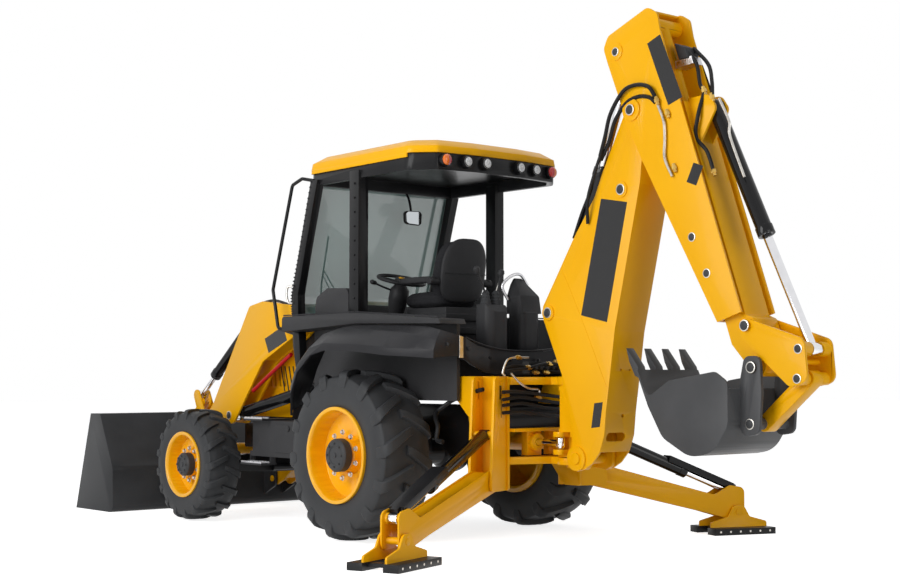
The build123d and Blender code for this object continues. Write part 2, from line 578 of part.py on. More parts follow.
lever_gap, lever_plate, link_plate = 6, 14, 12
lever_side = (arm_outer_y - arm_inner_y) / 2 - arm_plate - lever_gap
link_side = lever_side - lever_plate - lever_gap
lever = bar_y(*lever_pivot, 45, tilt_centre - lever_side, tilt_centre + lever_side)
link = None
for sign in (1, -1):
    near, far = sorted((tilt_centre + sign * (lever_side - lever_plate), tilt_centre + sign * lever_side))
    lever += strap(lever_pivot, tilt_eye, 62, 48, near, far)
    stub_near, stub_far = sorted((tilt_centre + sign * (link_side - link_plate), tilt_centre + sign * lever_side))
    lever += bar_y(*lever_link, 18, stub_near, stub_far)
    near, far = sorted((tilt_centre + sign * (link_side - link_plate), tilt_centre + sign * link_side))
    plate = strap(lever_link, bucket_link, 38, 38, near, far) - bar_y(*lever_link, 18 + pin_gap, near - 1, far + 1)
    link = plate if link is None else link + plate
lever -= bar_y(*lever_pivot, 28 + pin_gap, arm_inner_y, arm_outer_y)
link += bar_y(*bucket_link, 38, tilt_centre - link_side, tilt_centre + link_side)
keep("tilt_levers", lever, other_side(lever))
keep("tilt_links", link, other_side(link))

# ---------------------------------------------------------------- loader bucket
shell_rows = [
    (shovel_toe_x, 0, 0), (3235, 0, 60), (3250, 390, 120), (3500, 870, 0), (3680, 870, 0), (3680, 858, 0),
    (3508, 858, 0), (3264, 388, 110), (3249, 14, 46), (shovel_toe_x - 60, 14, 0),
]
shovel = side_plate(shell_rows, -shovel_half_width, shovel_half_width)
cheek_rows = [(shovel_toe_x, 0, 0), (3235, 0, 60), (3250, 390, 120), (3500, 870, 0), (3680, 870, 0)]
shovel += side_plate(cheek_rows, shovel_half_width - 16, shovel_half_width)
shovel += side_plate(cheek_rows, -shovel_half_width, -shovel_half_width + 16)
lug_gap, lug_plate = 8, 22
for sign, face in ((-1, arm_inner_y), (1, arm_outer_y)):
    near, far = sorted((face + sign * lug_gap, face + sign * (lug_gap + lug_plate)))
    lug = side_plate(
        [(3300, 60, 0), (3050, 180, 60), (3050, 300, 60), (3160, 570, 50), (3270, 560, 40), (3330, 470, 0)], near, far)
    lug -= bar_y(*bucket_hinge, 28 + pin_gap, near - 1, far + 1)
    stub_near, stub_far = sorted((tilt_centre + sign * (link_side + lever_gap), far if sign > 0 else near))
    lug += bar_y(*bucket_link, 28, stub_near, stub_far)
    shovel += both_sides(lug)
keep("loader_bucket", shovel)

# ---------------------------------------------------------------- kingpost
kingpost_half = 128
eye_bottom, eye_top = 697, 773
kingpost = bar_z(swing_x, 0, 58, 637, 1141) + bar_z(swing_x, 0, 95, 637, 655) + bar_z(swing_x, 0, 90, 1105, 1141)
cheek = side_plate(
    [(swing_x - 10, 815, 0), (swing_x - 10, 1130, 20), (-1480, 1130, 60), (-1640, 800, 100), (-1630, 560, 60),
     (-1442, 560, 30), (-1442, 815, 0)], kingpost_half - 30, kingpost_half)
kingpost += both_sides(cheek)
kingpost += block(-1480, -1442, -kingpost_half + 1, kingpost_half - 1, 565, 795)
kingpost += block(-1480, swing_x, -50, 50, 645, 795)
kingpost += block(-1442, swing_x, -kingpost_half + 1, kingpost_half - 1, 815, 840)
kingpost += block(-1425, swing_x, -kingpost_half + 1, kingpost_half - 1, 1105, 1130)
kingpost += block(-1383, swing_x, -50, 50, 640, 1130)
window = block(-1486, swing_x, 52, 200, eye_bottom - 7, eye_top + 7)
kingpost -= both_sides(window)
for bottom, top in ((655, eye_bottom - 7), (eye_top + 7, 815)):
    ears = floor_plate([(swing_x - 60, -20, 0), (swing_x - 45, 160, 40), (swing_x + 45, 160, 40),
                        (swing_x + 60, -20, 0)], bottom, top)
    kingpost += both_sides(ears)
kingpost -= bar_z(swing_x, 0, swing_pin_radius + pin_gap, 500, 1300)
kingpost += bar_y(*boom_foot, 40, -boom_half_width - 25, boom_half_width + 25)
kingpost += bar_y(*boom_ram_base, 30, -kingpost_half, kingpost_half)
keep("kingpost", kingpost)

swing_ram_z = 735
swing_y = swing_lug_radius
swing_barrel = Pos(-1100, swing_y, swing_ram_z) * Rot(0, 90, 0) * Cylinder(
    62, 460, align=(Align.CENTER, Align.CENTER, Align.MIN))
swing_barrel += block(-1060, -1000, swing_y - 70, swing_y + 70, 640, 812)
swing_barrel -= Pos(-1101, swing_y, swing_ram_z) * Rot(0, 90, 0) * Cylinder(
    26, 440, align=(Align.CENTER, Align.CENTER, Align.MIN))
keep("swing_ram_barrels", both_sides(swing_barrel))
swing_rod = Pos(swing_x, swing_y, swing_ram_z) * Rot(0, 90, 0) * Cylinder(
    25, 480, align=(Align.CENTER, Align.CENTER, Align.MIN))
swing_rod += bar_z(swing_x, swing_y, 32, swing_ram_z - 35, swing_ram_z + 35)
keep("swing_rod_left", swing_rod)
keep("swing_rod_right", other_side(swing_rod))

# ---------------------------------------------------------------- boom
boom_rows = [
    (-1532, 547, 0), (-1600, 565, 40), (-1673, 606, 60), (-1745, 683, 60), (-1790, 800, 60), (-1808, 965, 0),
    (-1850, 1230, 0), (-1892, 1509, 60), (-2131, 2494, 40), (-2190, 2960, 0), (-2150, 3085, 80), (-2020, 3085, 80),
    (-1985, 2960, 40), (-1789, 2602, 60), (-1711, 2438, 60), (-1499, 2157, 60), (-1339, 1915, 60),
    (-1195, 1700, 40), (-1200, 1610, 50), (-1385, 1215, 40), (-1400, 1080, 30), (-1430, 1040, 30), (-1484, 790, 40),
    (-1484, 690, 20), (-1448, 636, 30), (-1468, 563, 50),
]
boom = side_plate(boom_rows, boom_half_width - side_plate_thickness, boom_half_width)
boom = both_sides(boom)
boom_back = [
    (-1745, 683, 60), (-1790, 800, 60), (-1808, 965, 0), (-1850, 1230, 0), (-1892, 1509, 60), (-2131, 2494, 40),
    (-2170, 2800, 0), (-2155, 2800, 0), (-2116, 2494, 40), (-1877, 1509, 60), (-1835, 1230, 0), (-1793, 965, 0),
    (-1775, 800, 50), (-1732, 690, 50),
]
boom += side_plate(boom_back, -boom_half_width + 1, boom_half_width - 1)
hose_slot = Pos(-1860, 30, 790) * extrude(Plane.YZ * SlotOverall(190, 60), 160, dir=(1, 0, 0))
boom -= hose_slot
for y, z, radius in ((45, 1250, 9), (-45, 1250, 9), (-20, 935, 13)):
    boom -= Pos(-1900, y, z) * lying(radius, 0, 150)
boom += both_sides(bar_y(*dipper_ram_base, 55, 60, boom_half_width + 12))
boom += bar_y(*dipper_ram_base, 30, -boom_half_width, boom_half_width)
boom += both_sides(bar_y(*boom_foot, 85, boom_half_width - side_plate_thickness, boom_half_width + 15))
boom -= bar_y(*boom_foot, 40 + pin_gap, -300, 300)
boom += both_sides(bar_y(*boom_ram_eye, 55, 90, boom_half_width + 10))
boom += bar_y(*dipper_pivot, 60, -boom_half_width, boom_half_width)
boom += bar_y(*dipper_pivot, 38, -dipper_half_width - 20, dipper_half_width + 20)
keep("boom", boom)

boom_barrel, boom_rod = ram((boom_ram_base[0], 0, boom_ram_base[1]), (boom_ram_eye[0], 0, boom_ram_eye[1]),
                            1560, 60, 35, 46, 110, 30)
keep("boom_ram_barrel", boom_barrel)
keep("boom_ram_rod", boom_rod)
dipper_barrel, dipper_rod = ram((dipper_ram_base[0], 0, dipper_ram_base[1]),
                                (dipper_ram_eye[0], 0, dipper_ram_eye[1]), 1140, 58, 32, 50, 90, 30)
keep("dipper_ram_barrel", dipper_barrel)
keep("dipper_ram_rod", dipper_rod)

# ---------------------------------------------------------------- dipper, in its own frame: s towards the bucket,
# n towards the rear
reach_x, reach_z = -0.3267, -0.9451


def on_dipper(s, n):
    """The (x, z) place of a point s along the dipper and n behind its pivot line."""
    return (dipper_pivot[0] + s * reach_x + n * reach_z, dipper_pivot[1] + s * reach_z - n * reach_x)


def dipper_outline(rows):
    """Rows of (s, n, radius) turned into rows of (x, z, radius)."""
    return [(*on_dipper(s, n), radius) for s, n, radius in rows]


dipper_plate_rows = [
    (-399, -93, 60), (-517, -95, 60), (-580, -30, 60), (-590, 360, 60), (-512, 420, 50), (-390, 405, 60),
    (-60, 400, 200), (1185, 408, 0), (1608, 403, 0), (1602, 203, 0), (906, 77, 200), (363, -30, 100),
    (60, -75, 60), (-60, -75, 60),
]
plate = side_plate(dipper_outline(dipper_plate_rows), dipper_half_width - side_plate_thickness, dipper_half_width)
dipper = both_sides(plate)
dipper_front_rows = [
    (1602, 203, 0), (906, 77, 200), (363, -30, 0), (366, -15, 0), (900, 92, 200), (1599, 218, 0)]
dipper += side_plate(dipper_outline(dipper_front_rows), -dipper_half_width + 1, dipper_half_width - 1)
dipper_top_rows = [(-583, 130, 0), (-587, 340, 0), (-572, 340, 0), (-568, 130, 0)]
dipper += side_plate(dipper_outline(dipper_top_rows), -dipper_half_width + 1, dipper_half_width - 1)
dipper += both_sides(bar_y(*dipper_ram_eye, 60, 75, dipper_half_width + 8))
dipper += both_sides(bar_y(*dipper_pivot, 75, dipper_half_width - side_plate_thickness, dipper_half_width + 12))
dipper -= bar_y(*dipper_pivot, 38 + pin_gap, -300, 300)
keep("dipper", dipper)

slide_half = 120
slide_rows = [(120, 225, 0), (120, 392, 0), (1620, 392, 0), (1660, 440, 30), (1740, 440, 30), (1800, 400, 0),
              (2000, 440, 50), (2030, 330, 60), (1930, 300, 40), (1760, 225, 0)]
slide = side_plate(dipper_outline(slide_rows), -slide_half, slide_half)
slide -= side_plate(dipper_outline([(100, 245, 0), (100, 372, 0), (1550, 372, 0), (1550, 245, 0)]),
                    -slide_half + 15, slide_half - 15)
bucket_ram_base = on_dipper(213, 532)
for near, far in ((52, 72), (-72, -52)):
    slide += side_plate(dipper_outline([(100, 392, 0), (150, 560, 50), (260, 590, 50), (420, 392, 0)]), near, far)
slide += bar_y(*bucket_ram_base, 26, -72, 72)
lever_hinge = on_dipper(1695, 392)
bucket_pin = on_dipper(1964, 373)
slide += bar_y(*lever_hinge, 28, -slide_half - 45, slide_half + 45)
slide += bar_y(*bucket_pin, 28, -slide_half - 75, slide_half + 75)
slide += bar((on_dipper(-285, 300)[0], 0, on_dipper(-285, 300)[1]),
             (on_dipper(1560, 300)[0], 0, on_dipper(1560, 300)[1]), 22)
keep("dipper_slide", slide)

slide_ram_top = on_dipper(-498, 300)
slide_ram_end = on_dipper(820, 300)
extender = bar((slide_ram_top[0], 0, slide_ram_top[1]), (slide_ram_end[0], 0, slide_ram_end[1]), 45)
extender -= bar((on_dipper(-300, 300)[0], 0, on_dipper(-300, 300)[1]),
                (on_dipper(830, 300)[0], 0, on_dipper(830, 300)[1]), 23)
extender += bar_y(*slide_ram_top, 52, -dipper_half_width + side_plate_thickness, dipper_half_width - side_plate_thickness)
keep("slide_ram_barrel", extender)

bucket_ram_eye = (-3400, 1370)
bucket_barrel, bucket_rod = ram((bucket_ram_base[0], 0, bucket_ram_base[1]),
                                (bucket_ram_eye[0], 0, bucket_ram_eye[1]), 1020, 52, 30, 42, 90, 26)
keep("bucket_ram_barrel", bucket_barrel)
keep("bucket_ram_rod", bucket_rod)

link_pin = (-3390, 1190)
bucket_link_pin = (-3060, 910)
lever_inner = slide_half + 8
lever_outer = slide_half + 28
dig_lever = None
for near, far in ((lever_inner, lever_outer), (-lever_outer, -lever_inner)):
    plate = side_plate([(lever_hinge[0] + 40, lever_hinge[1] + 60, 50), (bucket_ram_eye[0] - 40, bucket_ram_eye[1] + 60, 60),
                        (link_pin[0] - 75, link_pin[1] - 20, 60), (link_pin[0] + 60, link_pin[1] - 50, 50),
                        (lever_hinge[0] + 50, lever_hinge[1] - 70, 50)], near, far)
    plate -= bar_y(*lever_hinge, 28 + pin_gap, near - 5, far + 5)
    dig_lever = plate if dig_lever is None else dig_lever + plate
for sign in (1, -1):
    dig_lever += bar_y(*bucket_ram_eye, 45, sign * 55, sign * lever_outer)
    dig_lever += bar_y(*link_pin, 40, sign * 60, sign * lever_outer)
dig_lever += bar_y(*link_pin, 24, -61, 61)
dig_lever += bar_y(-3340, 1290, 16, -lever_outer, lever_outer)
keep("bucket_lever", dig_lever)

dig_link = strap(link_pin, bucket_link_pin, 50, 50, -50, 50) - bar_y(*link_pin, 24 + pin_gap, -51, 51)
keep("bucket_link", dig_link)

# ---------------------------------------------------------------- dig bucket
lip = (-2225, 1249)
dig_shell = [
    (lip[0], lip[1], 0), (-2330, 1010, 40), (-2451, 811, 150), (-2676, 695, 200), (-2870, 730, 200), (-2985, 900, 120),
    (-2985, 1130, 0), (-2970, 1130, 0), (-2970, 905, 110), (-2862, 745, 190), (-2676, 711, 190), (-2462, 822, 140),
    (-2343, 1015, 40), (-2240, 1249, 0),
]
dig = side_plate(dig_shell, -dig_bucket_half_width, dig_bucket_half_width)
dig_cheek = [
    (lip[0], lip[1], 0), (-2330, 1010, 40), (-2451, 811, 150), (-2676, 695, 200), (-2870, 730, 200), (-2985, 900, 120),
    (-2985, 1170, 60), (-2885, 1235, 60), (-2507, 1178, 40), (-2330, 1070, 40)]
for near, far in ((dig_bucket_half_width - 14, dig_bucket_half_width), (-dig_bucket_half_width, -dig_bucket_half_width + 14)):
    dig += side_plate(dig_cheek, near, far)
ear_near = lever_outer + 12
for sign in (1, -1):
    ear_rows = [(-3020, 1330, 50), (-3140, 1330, 50), (-3150, 1100, 0), (-3130, 850, 50), (-3000, 830, 50),
                (-2960, 1000, 0), (-2990, 1200, 0)]
    dig += side_plate(ear_rows, min(sign * ear_near, sign * (ear_near + 25)), max(sign * ear_near, sign * (ear_near + 25)))
    dig += bar_y(*bucket_link_pin, 36, sign * 58, sign * (ear_near + 25))
dig -= bar_y(*bucket_pin, 28 + pin_gap, -400, 400)
tooth_y = 260
for y in (-tooth_y, -tooth_y / 3, tooth_y / 3, tooth_y):
    dig += side_plate([(lip[0] - 30, lip[1] - 60, 0), (lip[0] - 10, lip[1] + 20, 0), (-2134, 1391, 0),
                       (-2160, 1300, 0), (lip[0] + 16, lip[1] - 40, 0)], y - 35, y + 35)
keep("dig_bucket", dig)

# ---------------------------------------------------------------- stabiliser legs, in the leg's own upright plane:
# u outwards from the hinge, z up, then turned by the splay
leg_place = Pos(leg_hinge[0], leg_hinge[1], 0) * Rot(0, 0, 90 + leg_splay)


def in_leg_plane(shape):
    """Moves a shape drawn with u as x into the left leg's splayed plane."""
    return leg_place * shape


leg_half = 70
foot_pin = (leg_reach, foot_pin_z)
leg_ram_eye = (leg_reach + 5, 306)
leg_plate_rows = [(-70, leg_hinge[2] - 60, 50), (-70, leg_hinge[2] + 60, 50), (60, leg_hinge[2] + 80, 40),
                  (1000, 300, 60), (1130, 370, 40), (1260, 350, 50), (1260, 110, 50), (1130, 110, 40), (900, 175, 80)]
leg = side_plate(leg_plate_rows, -leg_half, -leg_half + 12) + side_plate(leg_plate_rows, leg_half - 12, leg_half)
leg += side_plate([(60, 395, 0), (60, 535, 0), (1000, 290, 0), (1000, 190, 0), (900, 180, 0)], -leg_half + 1, leg_half - 1)
leg -= bar_y(0, leg_hinge[2], 25 + pin_gap, -100, 100)
leg += bar_y(*foot_pin, 24, -leg_half - 28, leg_half + 28)
leg += bar_y(*leg_ram_eye, 36, -leg_half, -37) + bar_y(*leg_ram_eye, 36, 37, leg_half)
leg_left = in_leg_plane(leg)
keep("leg_left", leg_left)
keep("leg_right", other_side(leg_left))

leg_ram_closed, leg_barrel_radius = 890, 45
leg_barrel, leg_rod = ram((0, 0, leg_ram_top_z), (leg_ram_eye[0], 0, leg_ram_eye[1]), leg_ram_closed,
                          leg_barrel_radius, 28, 36, 62, 25)
leg_ram_place = Plane(origin=(leg_ram_eye[0], 0, leg_ram_eye[1]), x_dir=(-leg_ram_eye[0], 0, leg_ram_top_z - leg_ram_eye[1]),
                      z_dir=(0, 1, 0)).location
guard_start, guard_reach = 45, 640
guard_near, guard_half = leg_barrel_radius + 11, 56
guard = block(guard_start, guard_reach, guard_near, guard_near + 6, -guard_half, guard_half)
for flange in (guard_half - 6, -guard_half):
    guard += block(guard_start, guard_reach, 14, guard_near + 1, flange, flange + 6)
guard += block(10, guard_start + 20, 20, guard_near + 6, -28, 28)
leg_rod += leg_ram_place * guard
keep("leg_ram_barrel_left", in_leg_plane(leg_barrel))
keep("leg_ram_rod_left", in_leg_plane(leg_rod))
keep("leg_ram_barrel_right", other_side(in_leg_plane(leg_barrel)))
keep("leg_ram_rod_right", other_side(in_leg_plane(leg_rod)))

foot = None
for sign in (1, -1):
    near, far = sorted((sign * (leg_half + 8), sign * (leg_half + 24)))
    plate = side_plate([(950, 45, 0), (950, 90, 20), (1100, 130, 30), (1150, 215, 45), (1240, 215, 45), (1290, 130, 30),
                        (1440, 90, 20), (1440, 45, 0)], near, far)
    pad_near, pad_far = sorted((sign * (leg_half + 6), sign * (leg_half + 120)))
    plate += block(930, 1460, pad_near, pad_far, 0, 50)
    plate -= bar_y(*foot_pin, 24 + pin_gap, near - 1, far + 1)
    foot = plate if foot is None else foot + plate
foot += block(1000, 1060, -leg_half - 7, leg_half + 7, 20, 45) + block(1330, 1390, -leg_half - 7, leg_half + 7, 20, 45)
foot_left = in_leg_plane(foot)
keep("foot_left", foot_left)
keep("foot_right", other_side(foot_left))

# leg hangers on the rear frame: a pin through each leg's hinge and one through its ram's base eye
hanger_near, hanger_plate, frame_top = leg_half + 6, 20, 1205
hanger = side_plate([(-130, 400, 0), (-130, frame_top, 0), (-110, frame_top, 0), (-110, 400, 0)],
                    -hanger_near - 1, hanger_near + 1)
for sign in (1, -1):
    near, far = sorted((sign * hanger_near, sign * (hanger_near + hanger_plate)))
    hanger += side_plate([(-240, 400, 0), (-240, frame_top, 0), (20, frame_top, 40), (50, 800, 40), (75, 440, 40),
                          (60, 400, 30)], near, far)
hanger -= side_plate([(-66, 1040, 9), (-46, 1040, 9), (-46, 1170, 9), (-66, 1170, 9)], -200, 200)
hanger += bar_y(0, leg_hinge[2], 25, -leg_half - 26, leg_half + 26)
hanger += bar_y(0, leg_ram_top_z, 25, -leg_half - 26, leg_half + 26)
hanger = in_leg_plane(hanger) & block(-2000, 0, rail_y, 1000, 0, 2000)
gusset = side_plate([(-927, frame_top, 0), (-720, frame_top, 60), (-700, 1080, 80), (-860, 930, 120), (-927, 890, 0)],
                    560, 574)
pieces["rear_frame"] += both_sides(hanger) + both_sides(gusset) + both_sides(
    block(-1000, -980, rail_y + 10, 440, 700, frame_top))

# ---------------------------------------------------------------- writing
rearmost_x = link_pin[0] - 80
origin_x = (shovel_toe_x + rearmost_x) / 2
if __name__ == "__main__":
    for name, piece in pieces.items():
        export_step(Pos(-origin_x, 0, 0) * piece, f"parts/{name}.step")
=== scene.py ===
import json

import bmesh
import bpy
import numpy as np
from mathutils import Matrix, Vector
from mathutils.bvhtree import BVHTree

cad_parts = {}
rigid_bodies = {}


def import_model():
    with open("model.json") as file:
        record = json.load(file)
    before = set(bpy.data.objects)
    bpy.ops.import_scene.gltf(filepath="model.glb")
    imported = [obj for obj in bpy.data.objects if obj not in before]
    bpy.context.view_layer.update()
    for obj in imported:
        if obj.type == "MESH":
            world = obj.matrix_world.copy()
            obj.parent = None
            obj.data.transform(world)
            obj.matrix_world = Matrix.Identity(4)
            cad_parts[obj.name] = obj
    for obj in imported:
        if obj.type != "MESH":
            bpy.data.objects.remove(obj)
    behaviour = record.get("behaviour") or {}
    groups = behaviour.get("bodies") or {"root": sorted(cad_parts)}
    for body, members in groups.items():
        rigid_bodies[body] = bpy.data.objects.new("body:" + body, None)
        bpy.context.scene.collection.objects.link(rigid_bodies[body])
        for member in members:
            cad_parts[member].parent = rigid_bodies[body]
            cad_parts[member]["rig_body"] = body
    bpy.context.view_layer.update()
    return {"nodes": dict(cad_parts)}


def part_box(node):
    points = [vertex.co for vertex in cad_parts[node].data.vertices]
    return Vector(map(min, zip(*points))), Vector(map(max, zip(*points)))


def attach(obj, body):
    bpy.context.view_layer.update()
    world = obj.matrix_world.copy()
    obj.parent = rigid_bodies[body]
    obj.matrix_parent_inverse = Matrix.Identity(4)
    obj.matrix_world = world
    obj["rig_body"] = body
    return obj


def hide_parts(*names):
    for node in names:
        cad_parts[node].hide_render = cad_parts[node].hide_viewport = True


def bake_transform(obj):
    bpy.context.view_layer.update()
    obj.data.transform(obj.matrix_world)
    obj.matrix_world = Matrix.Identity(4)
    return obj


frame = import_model()
nodes = frame["nodes"]
scene = bpy.context.scene

# ---------------------------------------------------------------- studio
# A long lens stands low at the rear left.  The machine is lit by one large soft panel on its left, a weaker one
# overhead and a faint one behind, on a white floor that keeps only a pale shadow.
ahead = Vector((0.7602, -0.6473, 0.0574)).normalized()
right = Vector((-0.6483, -0.7614, 0.0001)).normalized()
above = right.cross(ahead).normalized()
lens = bpy.data.cameras.new("camera")
lens.lens, lens.sensor_width = 60.33, 36.0
lens.clip_end = 200
camera = bpy.data.objects.new("camera", lens)
camera.matrix_world = Matrix((
    (right.x, above.x, -ahead.x, -9.190),
    (right.y, above.y, -ahead.y, 7.628),
    (right.z, above.z, -ahead.z, 1.199),
    (0, 0, 0, 1)))
scene.collection.objects.link(camera)
scene.camera = camera
scene.view_settings.view_transform = "Standard"


def lamp(name, place, target, size, power):
    """A square soft lamp of the given side at place, facing target."""
    data = bpy.data.lights.new(name, "AREA")
    data.size, data.energy = size, power
    light = bpy.data.objects.new(name, data)
    light.location = place
    light.rotation_mode = "QUATERNION"
    light.rotation_quaternion = (Vector(target) - Vector(place)).to_track_quat("-Z", "Y")
    scene.collection.objects.link(light)


lamp("left_panel", (-1.2, 9.0, 4.2), (-0.3, 0.0, 1.3), 5.5, 560)
lamp("overhead", (0.0, 1.0, 8.5), (-0.2, 0.0, 1.0), 6.0, 130)
lamp("rear_panel", (-9.5, 0.5, 3.5), (-1.5, 0.0, 1.5), 4.0, 130)


def seen_by_eye(tree):
    """1 for rays from the camera, a mirror or a glass, otherwise 0."""
    path = tree.nodes.new("ShaderNodeLightPath")
    first, second = tree.nodes.new("ShaderNodeMath"), tree.nodes.new("ShaderNodeMath")
    first.operation = second.operation = "MAXIMUM"
    tree.links.new(path.outputs["Is Camera Ray"], first.inputs[0])
    tree.links.new(path.outputs["Is Transmission Ray"], first.inputs[1])
    tree.links.new(first.outputs[0], second.inputs[0])
    tree.links.new(path.outputs["Is Glossy Ray"], second.inputs[1])
    return second.outputs[0]


world = bpy.data.worlds.new("studio")
scene.world = world
world.use_nodes = True
sky = world.node_tree
sky.nodes.clear()
glow = sky.nodes.new("ShaderNodeMixRGB")
glow.inputs["Color1"].default_value = (0.17, 0.175, 0.18, 1)
glow.inputs["Color2"].default_value = (1, 1, 1, 1)
cover = sky.nodes.new("ShaderNodeBackground")
result = sky.nodes.new("ShaderNodeOutputWorld")
sky.links.new(seen_by_eye(sky), glow.inputs["Fac"])
sky.links.new(glow.outputs[0], cover.inputs["Color"])
sky.links.new(cover.outputs[0], result.inputs["Surface"])

floor_mesh = bpy.data.meshes.new("floor")
span, drop = 60, -0.001
floor_mesh.from_pydata([(x * span, y * span, drop) for x, y in ((-1, -1), (1, -1), (1, 1), (-1, 1))], [],
                       [(0, 1, 2, 3)])
floor = bpy.data.objects.new("floor", floor_mesh)
scene.collection.objects.link(floor)
floor_finish = bpy.data.materials.new("floor_finish")
floor_finish.use_nodes = True
floor_tree = floor_finish.node_tree
floor_shader = floor_tree.nodes["Principled BSDF"]
floor_shader.inputs["Base Color"].default_value = (0.93, 0.93, 0.93, 1)
floor_shader.inputs["Roughness"].default_value = 0.9
floor_shader.inputs["Emission Strength"].default_value = 0.8
floor_tree.links.new(seen_by_eye(floor_tree), floor_shader.inputs["Emission Color"])
floor_mesh.materials.append(floor_finish)


# ---------------------------------------------------------------- paints
# The steelwork is sprayed with a glossy machine yellow; axles, ram barrels and canopy posts are black, and both
# buckets a dark grey primer.  A sprayed coat has a fine orange-peel skin and is a touch uneven.
def mottle_group():
    """Mask = smooth noise of the object coordinates times Scale, pulled about its middle by Contrast."""
    group = bpy.data.node_groups.new("mottle", "ShaderNodeTree")
    for label, value in (("Scale", 3.0), ("Contrast", 1.5)):
        socket = group.interface.new_socket(label, in_out="INPUT", socket_type="NodeSocketFloat")
        socket.default_value = value
    group.interface.new_socket("Mask", in_out="OUTPUT", socket_type="NodeSocketFloat")
    enter, leave = group.nodes.new("NodeGroupInput"), group.nodes.new("NodeGroupOutput")
    place = group.nodes.new("ShaderNodeTexCoord")
    noise = group.nodes.new("ShaderNodeTexNoise")
    noise.inputs["Detail"].default_value = 4
    shift = group.nodes.new("ShaderNodeMath")
    shift.operation = "SUBTRACT"
    shift.inputs[1].default_value = 0.5
    pull = group.nodes.new("ShaderNodeMath")
    pull.operation = "MULTIPLY_ADD"
    pull.inputs[2].default_value = 0.5
    pull.use_clamp = True
    group.links.new(place.outputs["Object"], noise.inputs["Vector"])
    group.links.new(enter.outputs["Scale"], noise.inputs["Scale"])
    group.links.new(noise.outputs["Fac"], shift.inputs[0])
    group.links.new(shift.outputs[0], pull.inputs[0])
    group.links.new(enter.outputs["Contrast"], pull.inputs[1])
    group.links.new(pull.outputs[0], leave.inputs["Mask"])
    return group


mottle = mottle_group()


def finish(name, pale, deep, rough=(0.25, 0.35), mottle_scale=3.0, contrast=1.5, grain_scale=300.0,
           grain_depth=0.05, metallic=0.0, coat=0.0):
    """A material whose colour and roughness run between two values by the mottle mask, with a fine noise grain
    as its bump.  pale and deep are linear colours, and grain_depth is the bump's strength."""
    material = bpy.data.materials.new(name)
    material.use_nodes = True
    tree = material.node_tree
    shader = tree.nodes["Principled BSDF"]
    shader.inputs["Metallic"].default_value = metallic
    shader.inputs["Coat Weight"].default_value = coat
    shader.inputs["Specular IOR Level"].default_value = 0.5 if metallic else 0.15
    shader.inputs["Coat Roughness"].default_value = 0.06
    patch = tree.nodes.new("ShaderNodeGroup")
    patch.name = "patch"
    patch.node_tree = mottle
    patch.inputs["Scale"].default_value = mottle_scale
    patch.inputs["Contrast"].default_value = contrast
    colours = tree.nodes.new("ShaderNodeMixRGB")
    colours.name = "colours"
    colours.inputs["Color1"].default_value = (*deep, 1)
    colours.inputs["Color2"].default_value = (*pale, 1)
    dulls = tree.nodes.new("ShaderNodeMapRange")
    dulls.inputs["To Min"].default_value, dulls.inputs["To Max"].default_value = rough
    place = tree.nodes.new("ShaderNodeTexCoord")
    grain = tree.nodes.new("ShaderNodeTexNoise")
    grain.inputs["Scale"].default_value = grain_scale
    grain.inputs["Detail"].default_value = 2
    bump = tree.nodes.new("ShaderNodeBump")
    bump.inputs["Strength"].default_value = grain_depth
    bump.inputs["Distance"].default_value = 0.002
    tree.links.new(patch.outputs["Mask"], colours.inputs["Fac"])
    tree.links.new(patch.outputs["Mask"], dulls.inputs["Value"])
    tree.links.new(colours.outputs[0], shader.inputs["Base Color"])
    tree.links.new(dulls.outputs[0], shader.inputs["Roughness"])
    tree.links.new(place.outputs["Object"], grain.inputs["Vector"])
    tree.links.new(grain.outputs["Fac"], bump.inputs["Height"])
    tree.links.new(bump.outputs["Normal"], shader.inputs["Normal"])
    return material


yellow = finish("yellow_paint", (0.97, 0.49, 0.001), (0.90, 0.43, 0.001), (0.30, 0.38), 2.0, 1.2, 420,
                0.04, coat=0.05)
black_paint = finish("black_paint", (0.011, 0.011, 0.012), (0.006, 0.006, 0.007), (0.25, 0.4), 4, 1.5,
                     400, 0.05, coat=0.1)
grey_paint = finish("grey_paint", (0.058, 0.059, 0.062), (0.040, 0.041, 0.043), (0.35, 0.5), 5, 2.0,
                    260, 0.08)
iron = finish("cast_iron", (0.04, 0.04, 0.04), (0.02, 0.02, 0.02), (0.5, 0.7), 9, 2.0, 300, 0.4)
steel = finish("bright_steel", (0.62, 0.60, 0.56), (0.40, 0.38, 0.35), (0.22, 0.4), 20, 2.0, 600, 0.1,
               metallic=1.0)
gloss_black = finish("gloss_black", (0.007, 0.007, 0.008), (0.004, 0.004, 0.005), (0.12, 0.2), 6, 1.4,
                     300, 0.02, coat=0.2)
bucket_paint = finish("bucket_paint", (0.040, 0.041, 0.044), (0.024, 0.025, 0.027), (0.3, 0.45), 3, 1.8,
                      200, 0.15)
rod_chrome = finish("rod_chrome", (0.80, 0.80, 0.82), (0.68, 0.68, 0.70), (0.06, 0.12), 20, 1.2, 400, 0.02,
                    metallic=1.0)
hose_rubber = finish("hose_rubber", (0.014, 0.014, 0.015), (0.010, 0.010, 0.011), (0.35, 0.5), 20, 1.5,
                     500, 0.2)
both_hands = (("left", 1), ("right", -1))


